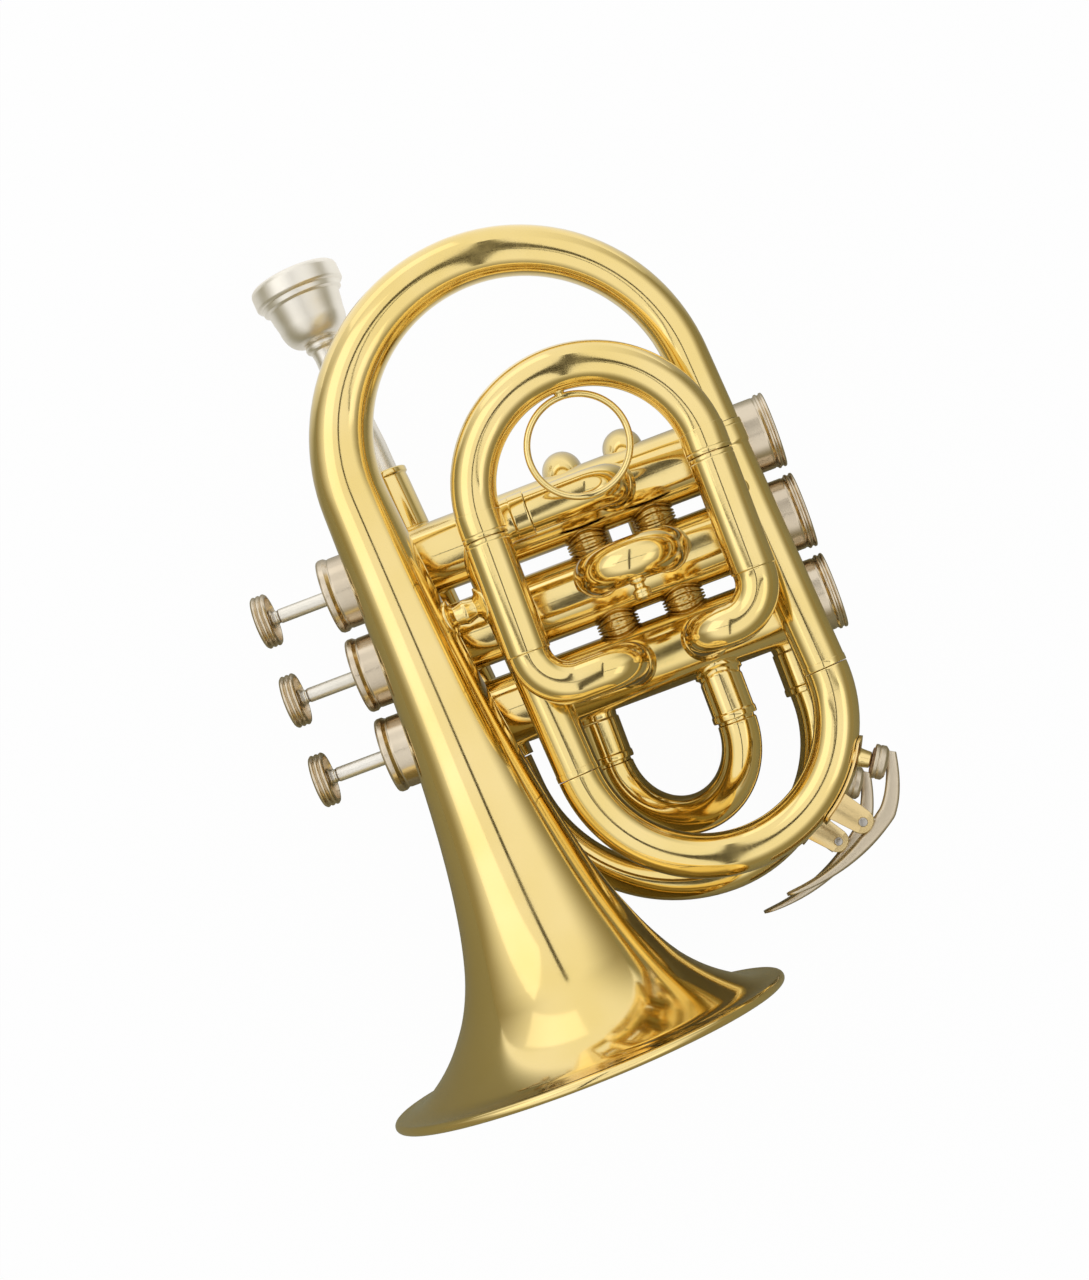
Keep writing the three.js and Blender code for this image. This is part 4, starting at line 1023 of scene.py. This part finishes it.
for row, port in (("upper", upper_port), ("lower", first_lower_port)):
    line = Line([
        (valve_x(1), port, 0),
        (first_leg_x, port, 0),
        (first_leg_x, port, first_level),
        (first_mouth_x, port, first_level),
    ], [first_bend_radius, first_bend_radius])
    sleeve_start = line.length - first_reach
    sleeve = Piece(f"bent_first_{row}_sleeve").turn(line, stepped_bore([
        (0, elbow_radius), (sleeve_start, elbow_radius), (sleeve_start + sleeve_slope, tube_radius),
        *sleeve_mouth(line.length),
    ], sleeve_start)).finish(f"first_slide_{row}_sleeve")
    space = Piece("casing_space").turn(valve_axis(1), [
        (casing_top, 0), (casing_top, casing_space), (casing_bottom, casing_space), (casing_bottom, 0),
    ], ease=0, sides=96).finish()
    trimmed(sleeve, space)

first_line = bow_line(
    (first_mouth_x - first_engaged, upper_port, first_level),
    (first_mouth_x - first_engaged, first_lower_port, first_level),
    forward,
    first_bow_x,
)
Piece("bent_first_slide").turn(
    first_line, with_bore([(0, slide_radius), (first_line.length, slide_radius)], slide_bore),
).finish("first_slide", "first_slide")

# Braces
# Turned brass spools hold the bell, the side tube and the leadpipe to their neighbours. Their feet are spread
# and bent to the tubes before they are soldered.

bell_brace_foot, bell_brace_neck, bell_brace_at = 5.2, 3.1, -6
side_brace_foot, side_brace_neck, side_brace_x = 3.4, 2.7, -9.5
lead_brace_foot, lead_brace_neck = 3.2, 2.6
foot_edge, foot_curve, curve_share = 0.5, 0.75, 0.3
long_brace, longest_flare, waist_depth = 8, 1.6, 0.4
bead_share, bead_top_share, bead_rise = 0.35, 0.45, 0.3
foot_hold, longest_fade = 0.4, 2.0


def brace(name, node, start, end, walls, foot, neck):
    """A spool from one wall's surface to another's, spread at both ends; a wall is its radius and its axis"""
    line = Line([start, end])
    length = line.length
    half = [
        (-sunk, 0), (-sunk, foot), (foot_edge, foot), (foot_curve, neck + curve_share * (foot - neck)),
        (min(longest_flare, length / 3), neck - waist_depth),
    ]
    if length > long_brace:
        half += [(bead_share * length, neck), (bead_top_share * length, neck + bead_rise)]
    fade = max(foot_hold, min(longest_fade, length / 2 - foot_hold))
    seats = [
        Seat(radius, at, axis, hold=foot_hold, fade=fade) for at, (radius, axis) in zip((0, length), walls)
    ]
    Piece(name).turn(line, both_ends(half, length), sides=48, seats=seats).finish(node)


bell_radius_there = horn_radius(bell_rim_at - bell_brace_at)
brace(
    "turned_bell_brace", "bell_brace",
    in_loop(bell_brace_at, bell_across + bell_radius_there),
    in_loop(bell_brace_at, return_across - tube_radius),
    ((bell_radius_there, loop_heading), (tube_radius, loop_heading)), bell_brace_foot, bell_brace_neck,
)

side_place = in_loop((side_brace_x + side_across * math.sin(loop_tilt)) / math.cos(loop_tilt), side_across)
third_place = np.array([side_place[0], third_lower, third_level])
between = unit(third_place - side_place)
brace(
    "turned_side_brace", "side_brace",
    side_place + between * tube_radius, third_place - between * tube_radius,
    ((tube_radius, loop_heading), (tube_radius, forward)), side_brace_foot, side_brace_neck,
)

for name, valve in (("rear", 1), ("front", 3)):
    on_pipe = on_lead(valve_x(valve))
    on_casing = np.array([on_pipe[0], on_pipe[1], -casing_radius])
    brace(
        f"turned_leadpipe_{name}_brace", f"leadpipe_{name}_brace", on_pipe + upward * lead_radius, on_casing,
        ((lead_radius, lead_heading), (casing_radius, to_caps)), lead_brace_foot, lead_brace_neck,
    )

# Water keys
# Each drains its bow. A cast nickel-plated lever rocks on a pin between the lugs of a yellow brass saddle,
# and a steel spring under it holds the cork in its cup over the nipple.

saddle_brass = polished_metal("saddle_brass", "raw_brass", (0.86, 0.68, 0.36), (0.76, 0.57, 0.27), rough=0.22)
cast_nickel = polished_metal("cast_nickel", "nickel", (0.70, 0.61, 0.47), (0.62, 0.53, 0.39), rough=0.38)

pressed_cork = Finish("pressed_cork", "cork", Roughness=0.85)
grains = pressed_cork.band(pressed_cork.noise(size=0.9, detail=4), low=0.35, high=0.65)
pits = pressed_cork.band(pressed_cork.noise(size=0.35), low=0.3, high=0.5)
pressed_cork.set(
    Base_Color=pressed_cork.mix(grains, (0.20, 0.11, 0.05), (0.42, 0.27, 0.14)),
    Normal=pressed_cork.bump(grains + pits, strength=0.5, depth=0.15),
)

pivot_angle, crest_angle = math.radians(37.8), math.radians(46.5)
heel_angle, tip_angle = math.radians(61), math.radians(5.7)
pivot_height, crest_height, arm_height = 8.1, 14.6, 14.4
heel_height, tip_height = 10.2, 9.7
arm_thickness, heel_thickness, tip_thickness = 4.4, 3, 0.9
arm_width, touch_width = 3.2, 7
half_width = arm_width / 2
touch_start_share, touch_full_share, tip_start_share = 0.6, 0.82, 0.94
tip_narrowing_share, just_before_end = 0.98, 2.9999
lever_rings, lever_sides = 60, 28
corner_power = 3.5
web_half, web_inset, web_spread = 2.1, 0.15, 0.9
web_bottom, web_top = pivot_height + 0.6, arm_height - 1.5
ear_radius, lug_gap, lug_thickness, lug_foot = 2.5, 0.3, 1.0, 4.0
lug_radius, lug_edge, lug_steps = 3.3, 0.18, 14
lug_crown_share, lug_flat_share = 0.85, 0.7
lug_middle = half_width + lug_gap + lug_thickness / 2
plate_start, plate_end = math.radians(30), math.radians(65)
plate_thickness, plate_gap, plate_half_turn = 0.9, 0.1, math.radians(32)
plate_round_share, plate_least_share = 0.2, 0.12
plate_steps, round_steps = 24, 10
pin_radius, pin_overhang, ear_bore = 0.9, 0.6, 1.1
head_radius, head_end_radius = 1.4, 1.2
pin_reach = lug_middle + lug_thickness / 2 + pin_overhang
cork_radius, cork_height, cork_stand, cork_gap = 3.6, 3, 0.5, 0.3
cork_bottom = nipple_height + cork_gap
cork_top = cork_bottom + cork_height
cup_wall, cup_bore = 0.8, cork_radius + cork_gap
cup_radius, cup_bottom, cup_roof = cup_bore + cup_wall, cork_bottom + cork_stand, cork_top + cork_gap
cup_line_at, crown_edge, crown_rise = 1.2, 0.9, 0.5
spring_wire, spring_spread, spring_bend_radius = 0.3, 0.9, 6
spring_leans, spring_heights = (0.035, 0.063, 0.063), (0.9, 5, 8.6)


def smooth_line(values, share):
    """A value between four given ones, on a smooth curve through them at even shares"""
    place = min(share * 3, just_before_end)
    i, inside = int(place), place - int(place)
    before, start, end, after = values[max(0, i - 1)], values[i], values[i + 1], values[min(3, i + 2)]
    slope = end - before
    curve = 2 * before - 5 * start + 4 * end - after
    twist = -before + 3 * start - 3 * end + after
    return 0.5 * (2 * start + slope * inside + curve * inside ** 2 + twist * inside ** 3)


def smooth_step(value):
    value = min(1, max(0, value))
    return value * value * (3 - 2 * value)


def rounded_box(turn, width, height):
    """The sideways and upward place of a turn round a box with soft corners"""
    ways = (math.sin(turn), math.cos(turn))
    across, up = (math.copysign(abs(way) ** (2 / corner_power), way) for way in ways)
    return across * width / 2, up * height / 2


def water_key(name, centre, bow_radius, radius):
    """The lever, cork, saddle, pin and spring of one key, on the outer side of a bow"""

    def spot(angle, height, level=0.0):
        return centre + level_heading(angle) * (bow_radius + radius + height) + upward * level

    angles = (heel_angle, crest_angle, pivot_angle, tip_angle)
    heights = (heel_height, crest_height, arm_height, tip_height)
    thicknesses = (heel_thickness, arm_thickness, arm_thickness, tip_thickness)
    rings = []
    for i in range(lever_rings + 1):
        share = i / lever_rings
        thickness = smooth_line(thicknesses, share)
        middle = smooth_line(heights, share) - thickness / 2
        swell = smooth_step((share - touch_start_share) / (touch_full_share - touch_start_share))
        width = arm_width + (touch_width - arm_width) * swell
        if share > tip_start_share:
            tip_share = (share - tip_start_share) / (1 - tip_start_share)
            width *= math.sqrt(1 - tip_narrowing_share * tip_share ** 2)
        corners = [rounded_box(2 * math.pi * j / lever_sides, width, thickness) for j in range(lever_sides)]
        angle = smooth_line(angles, share)
        rings.append(np.array([spot(angle, middle + up, across) for across, up in corners]))
    pivot, outward = spot(pivot_angle, pivot_height), level_heading(pivot_angle)
    hinge = Line([pivot, pivot + upward])
    aside = level_heading(pivot_angle + math.pi / 2)
    web = [
        np.array([
            spot(pivot_angle, height, level * (half_width - web_inset)) + aside * reach * way
            for way, level in ((1, 1), (1, -1), (-1, -1), (-1, 1))
        ])
        for height, reach in ((web_bottom, web_half), (web_top, web_half + web_spread))
    ]
    over = Line([spot(key_cup_angle, 0), spot(key_cup_angle, 1)])
    lever = Piece(f"cast_{name}_lever")
    lever.loft(rings)
    lever.turn(hinge, [
        (-half_width, ear_bore), (-half_width, ear_radius), (half_width, ear_radius), (half_width, ear_bore),
    ], sides=40)
    lever.loft(web)
    lever.turn(over, [
        (cup_bottom, cup_bore), (cup_bottom, cup_radius),
        *groove(cup_bottom + cup_line_at, cup_radius, depth=0.25, width=0.6), (cup_roof, cup_radius),
        (cup_roof + cup_wall, cup_radius - crown_edge), (cup_roof + cup_wall + crown_rise, 0), (cup_roof, 0),
        (cup_roof, cup_bore),
    ])
    lever.finish(f"{name}_lever", name, cast_nickel)

    Piece(f"pressed_{name}_cork").turn(over, [
        (cork_bottom, 0), (cork_bottom, cork_radius), (cork_top, cork_radius), (cork_top, 0),
    ], ease=0.25, sides=40).finish(f"{name}_cork", name, pressed_cork)

    plate = []
    for i in range(plate_steps + 1):
        angle = plate_start + (plate_end - plate_start) * i / plate_steps
        end_share = abs(2 * i / plate_steps - 1)
        rounding = max(0, (end_share - 1 + plate_round_share) / plate_round_share)
        half_turn = plate_half_turn * math.sqrt(max(plate_least_share, 1 - rounding ** 2))
        leans = [half_turn * (2 * step / round_steps - 1) for step in range(round_steps + 1)]
        around = [(lean, radius + plate_thickness) for lean in leans]
        around += [(-lean, radius + plate_gap) for lean in leans]
        plate.append(np.array([
            spot(angle, reach * math.cos(lean) - radius, reach * math.sin(lean)) for lean, reach in around
        ]))
    saddle = Piece(f"bent_{name}_saddle").loft(plate)
    arc = [math.pi * i / lug_steps for i in range(lug_steps + 1)]
    profile = [(lug_foot, -pivot_height), (-lug_foot, -pivot_height)]
    profile += [(-lug_radius * math.cos(turn), lug_crown_share * lug_radius * math.sin(turn)) for turn in arc]
    for side in (-1, 1):
        slab = []
        for level, inset in ((-1, lug_edge), (-lug_flat_share, 0), (lug_flat_share, 0), (1, lug_edge)):
            shrink = 1 - inset / lug_radius
            middle = pivot + upward * (side * lug_middle + level * lug_thickness / 2)
            slab.append(np.array([
                middle + aside * along * shrink + outward * up * (shrink if up > 0 else 1)
                for along, up in profile
            ]))
        saddle.loft(slab)
    saddle.finish(f"{name}_saddle", look=saddle_brass)

    head = pin_reach - pin_overhang
    Piece(f"turned_{name}_pin").turn(hinge, [
        (-pin_reach, 0), (-pin_reach, pin_radius), (-head, pin_radius), (head, pin_radius),
        (head, head_radius), (pin_reach, head_end_radius), (pin_reach, 0),
    ], sides=32).finish(f"{name}_pin", look=steel)

    spring = Piece(f"bent_{name}_spring")
    for level in (-spring_spread, spring_spread):
        line = Line([
            spot(pivot_angle - lean, height, level) for lean, height in zip(spring_leans, spring_heights)
        ], [spring_bend_radius])
        spring.turn(line, both_ends([(0, 0), (0, spring_wire)], line.length), ease=0, sides=12)
    spring.finish(look=steel)


water_key("bell_water_key", front_centre, front_bow_radius, tube_radius)
water_key("leadpipe_water_key", lead_centre, lead_bow_radius, slide_radius)

# Floor, light and camera
# The trumpet lies on a white sheet in a light tent. A glowing warm grey skirt and a warm grey tray, which the
# camera doesn't see, are painted reflection and painted shade on the metal's edges, and two dark rails
# overhead paint a dark reflected line along each tube.

trumpet_middle = (Vector(cad_box[0]) + Vector(cad_box[1])) / 2
white = (1, 1, 1)
floor_half = 3.0
shown_share = 0.97
sheet_corners = ((-1, -1), (1, -1), (1, 1), (-1, 1))


def paper_ray(tree):
    """One for rays that should meet the white background: from the camera, metal or glass"""
    path = tree.nodes.new("ShaderNodeLightPath")
    ray = path.outputs["Is Camera Ray"]
    for name in ("Is Glossy Ray", "Is Transmission Ray"):
        larger = tree.nodes.new("ShaderNodeMath")
        larger.operation = "MAXIMUM"
        tree.links.new(ray, larger.inputs[0])
        tree.links.new(path.outputs[name], larger.inputs[1])
        ray = larger.outputs[0]
    return ray


def glow(finish, colour):
    return finish.node("Emission", {}, {"Color": colour, "Strength": 1.0})


def show(finish, shown):
    finish.tree.links.new(shown.output, finish.tree.nodes["Material Output"].inputs["Surface"])


def whitened(finish, share):
    """Lays plain white light over a finish by a share"""
    plain = Socket(finish, finish.shader.outputs[0])
    show(finish, finish.node("MixShader", {}, {0: share, 1: plain, 2: glow(finish, (*white, 1))}))


def stage_sheet(name, corners, faces, finish, mirrored=True):
    """A sheet of the studio. A mirrored one is seen in the metal and nowhere else, so it is a painted
    reflection
    """
    mesh = bpy.data.meshes.new(name)
    mesh.from_pydata(corners, [], faces)
    mesh.materials.append(finish.material)
    sheet = bpy.data.objects.new(name, mesh)
    bpy.context.scene.collection.objects.link(sheet)
    if mirrored:
        sheet.visible_camera = False
        sheet.visible_diffuse = False
        sheet.visible_shadow = False
    return sheet


def square(half_x, half_y, level):
    return [(x * half_x, y * half_y, level) for x, y in sheet_corners]


floor_finish = Finish("white_sheet", Base_Color=(0.9, 0.9, 0.9, 1), Roughness=0.9)
whitened(floor_finish, Socket(floor_finish, paper_ray(floor_finish.tree)) * shown_share)
stage_sheet("floor", square(floor_half, floor_half, 0), [range(4)], floor_finish, mirrored=False)

tray_lift = 0.3 * mm
tray_clear, tray_full, tray_spread = -0.13, 0.06, 0.8
# painted shade: a warm grey sheet under the trumpet, seen only as a reflection in the metal, white towards
# the back and warm grey elsewhere
shade_tray_finish = Finish("painted_shade_tray", Base_Color=(0.31, 0.285, 0.17, 1), Roughness=0.9)
along, across = (shade_tray_finish.node("SeparateXYZ", {}, {0: shade_tray_finish.place}, output=i) for i in (0, 1))
aside = shade_tray_finish.node("Math", {"operation": "ABSOLUTE"}, {0: across})
whitened(shade_tray_finish, shade_tray_finish.band(aside * tray_spread + along, tray_full, tray_clear, "SMOOTHSTEP"))
stage_sheet("tray", square(floor_half, floor_half, tray_lift), [range(4)], shade_tray_finish)

# painted reflection: a glowing sheet seen only in the metal, dark warm grey low down and white higher up and
# towards the back, which darkens the tubes' edges
skirt_radius, skirt_height, skirt_sides = 2.2, 2.6, 64
skirt_low, skirt_high = -0.1, 1.8
skirt_open, skirt_lift = 1.1, 0.7
lift_start, lift_end = -0.7, 0.14
reflection_skirt_finish = Finish("painted_reflection_skirt")
along, level = (reflection_skirt_finish.node("SeparateXYZ", {}, {0: reflection_skirt_finish.place}, output=i) for i in (0, 2))
lift = reflection_skirt_finish.band(along, lift_start, lift_end, "SMOOTHSTEP") * skirt_lift
rising = reflection_skirt_finish.band(level - lift, skirt_low, skirt_high, "SMOOTHSTEP")
rearward = reflection_skirt_finish.band(along, -skirt_open, -skirt_radius, "SMOOTHSTEP")
fade = reflection_skirt_finish.node("Math", {"operation": "MAXIMUM"}, {0: rising, 1: rearward})
show(reflection_skirt_finish, glow(reflection_skirt_finish, reflection_skirt_finish.mix(fade, (0.29, 0.257, 0.16), white)))
skirt_turns = [2 * math.pi * i / skirt_sides for i in range(skirt_sides)]
skirt_corners = [
    (skirt_radius * math.cos(turn), skirt_radius * math.sin(turn), height)
    for height in (0, skirt_height) for turn in skirt_turns
]
skirt_faces = []
for i in range(skirt_sides):
    j = (i + 1) % skirt_sides
    skirt_faces.append((i, j, j + skirt_sides, i + skirt_sides))
stage_sheet("skirt", skirt_corners, skirt_faces, reflection_skirt_finish)

rail_level, rail_turn = 1.8, math.radians(-8)
# painted reflection: two dark cards seen only in the metal, which draw a dark line along each tube
reflection_rail_finish = Finish("painted_reflection_rail", Base_Color=(0.07, 0.06, 0.04, 1), Roughness=0.8)
for name, halves in (("long_rail", (2.0, 0.075)), ("cross_rail", (0.03, 1.3))):
    rail = stage_sheet(name, square(*halves, rail_level), [range(4)], reflection_rail_finish)
    rail.rotation_euler = (0, 0, rail_turn)

world = bpy.data.worlds.new("studio")
world.use_nodes = True
bpy.context.scene.world = world
sky = world.node_tree
tent = sky.nodes["Background"]
tent.inputs["Color"].default_value = (0.7, 0.7, 0.7, 1)
backdrop = sky.nodes.new("ShaderNodeBackground")
backdrop.inputs["Color"].default_value = (*white, 1)
shown_sky = sky.nodes.new("ShaderNodeMixShader")
for i, source in enumerate((paper_ray(sky), tent.outputs[0], backdrop.outputs[0])):
    sky.links.new(source, shown_sky.inputs[i])
sky.links.new(shown_sky.outputs[0], sky.nodes["World Output"].inputs["Surface"])

lamp_depth_share = 0.7
for name, place, size, power in (
    ("left_lamp", (-0.7, -1.1, 1.5), 1.6, 1.7),
    ("right_lamp", (0.6, 1.2, 1.4), 1.0, 0.6),
    ("rear_lamp", (-1.6, -0.45, 0.4), 1.0, 0.6),
):
    lamp = bpy.data.lights.new(name, "AREA")
    lamp.shape = "RECTANGLE"
    lamp.size, lamp.size_y = size, size * lamp_depth_share
    lamp.energy = power
    holder = bpy.data.objects.new(name, lamp)
    bpy.context.scene.collection.objects.link(holder)
    holder.location = trumpet_middle + Vector(place)
    holder.rotation_mode = "QUATERNION"
    holder.rotation_quaternion = (trumpet_middle - holder.location).to_track_quat("-Z", "Y")

camera_place = (37.42, 34.86, 619.51)
camera_right = Vector((0.3485, 0.9341, -0.0774))
camera_down = Vector((0.9362, -0.3509, -0.0201))
camera_ahead = Vector((-0.0459, -0.0654, -0.9968))
camera = bpy.data.cameras.new("camera")
camera.lens = 61.48
camera.clip_start, camera.clip_end = 0.01, 20
eye = bpy.data.objects.new("camera", camera)
bpy.context.scene.collection.objects.link(eye)
turned_eye = Matrix((camera_right, -camera_down, -camera_ahead)).transposed()
eye.matrix_world = Matrix.Translation(Vector(origin + np.array(camera_place) * mm)) @ turned_eye.to_4x4()
bpy.context.scene.camera = eye
bpy.context.scene.view_settings.view_transform = "Standard"
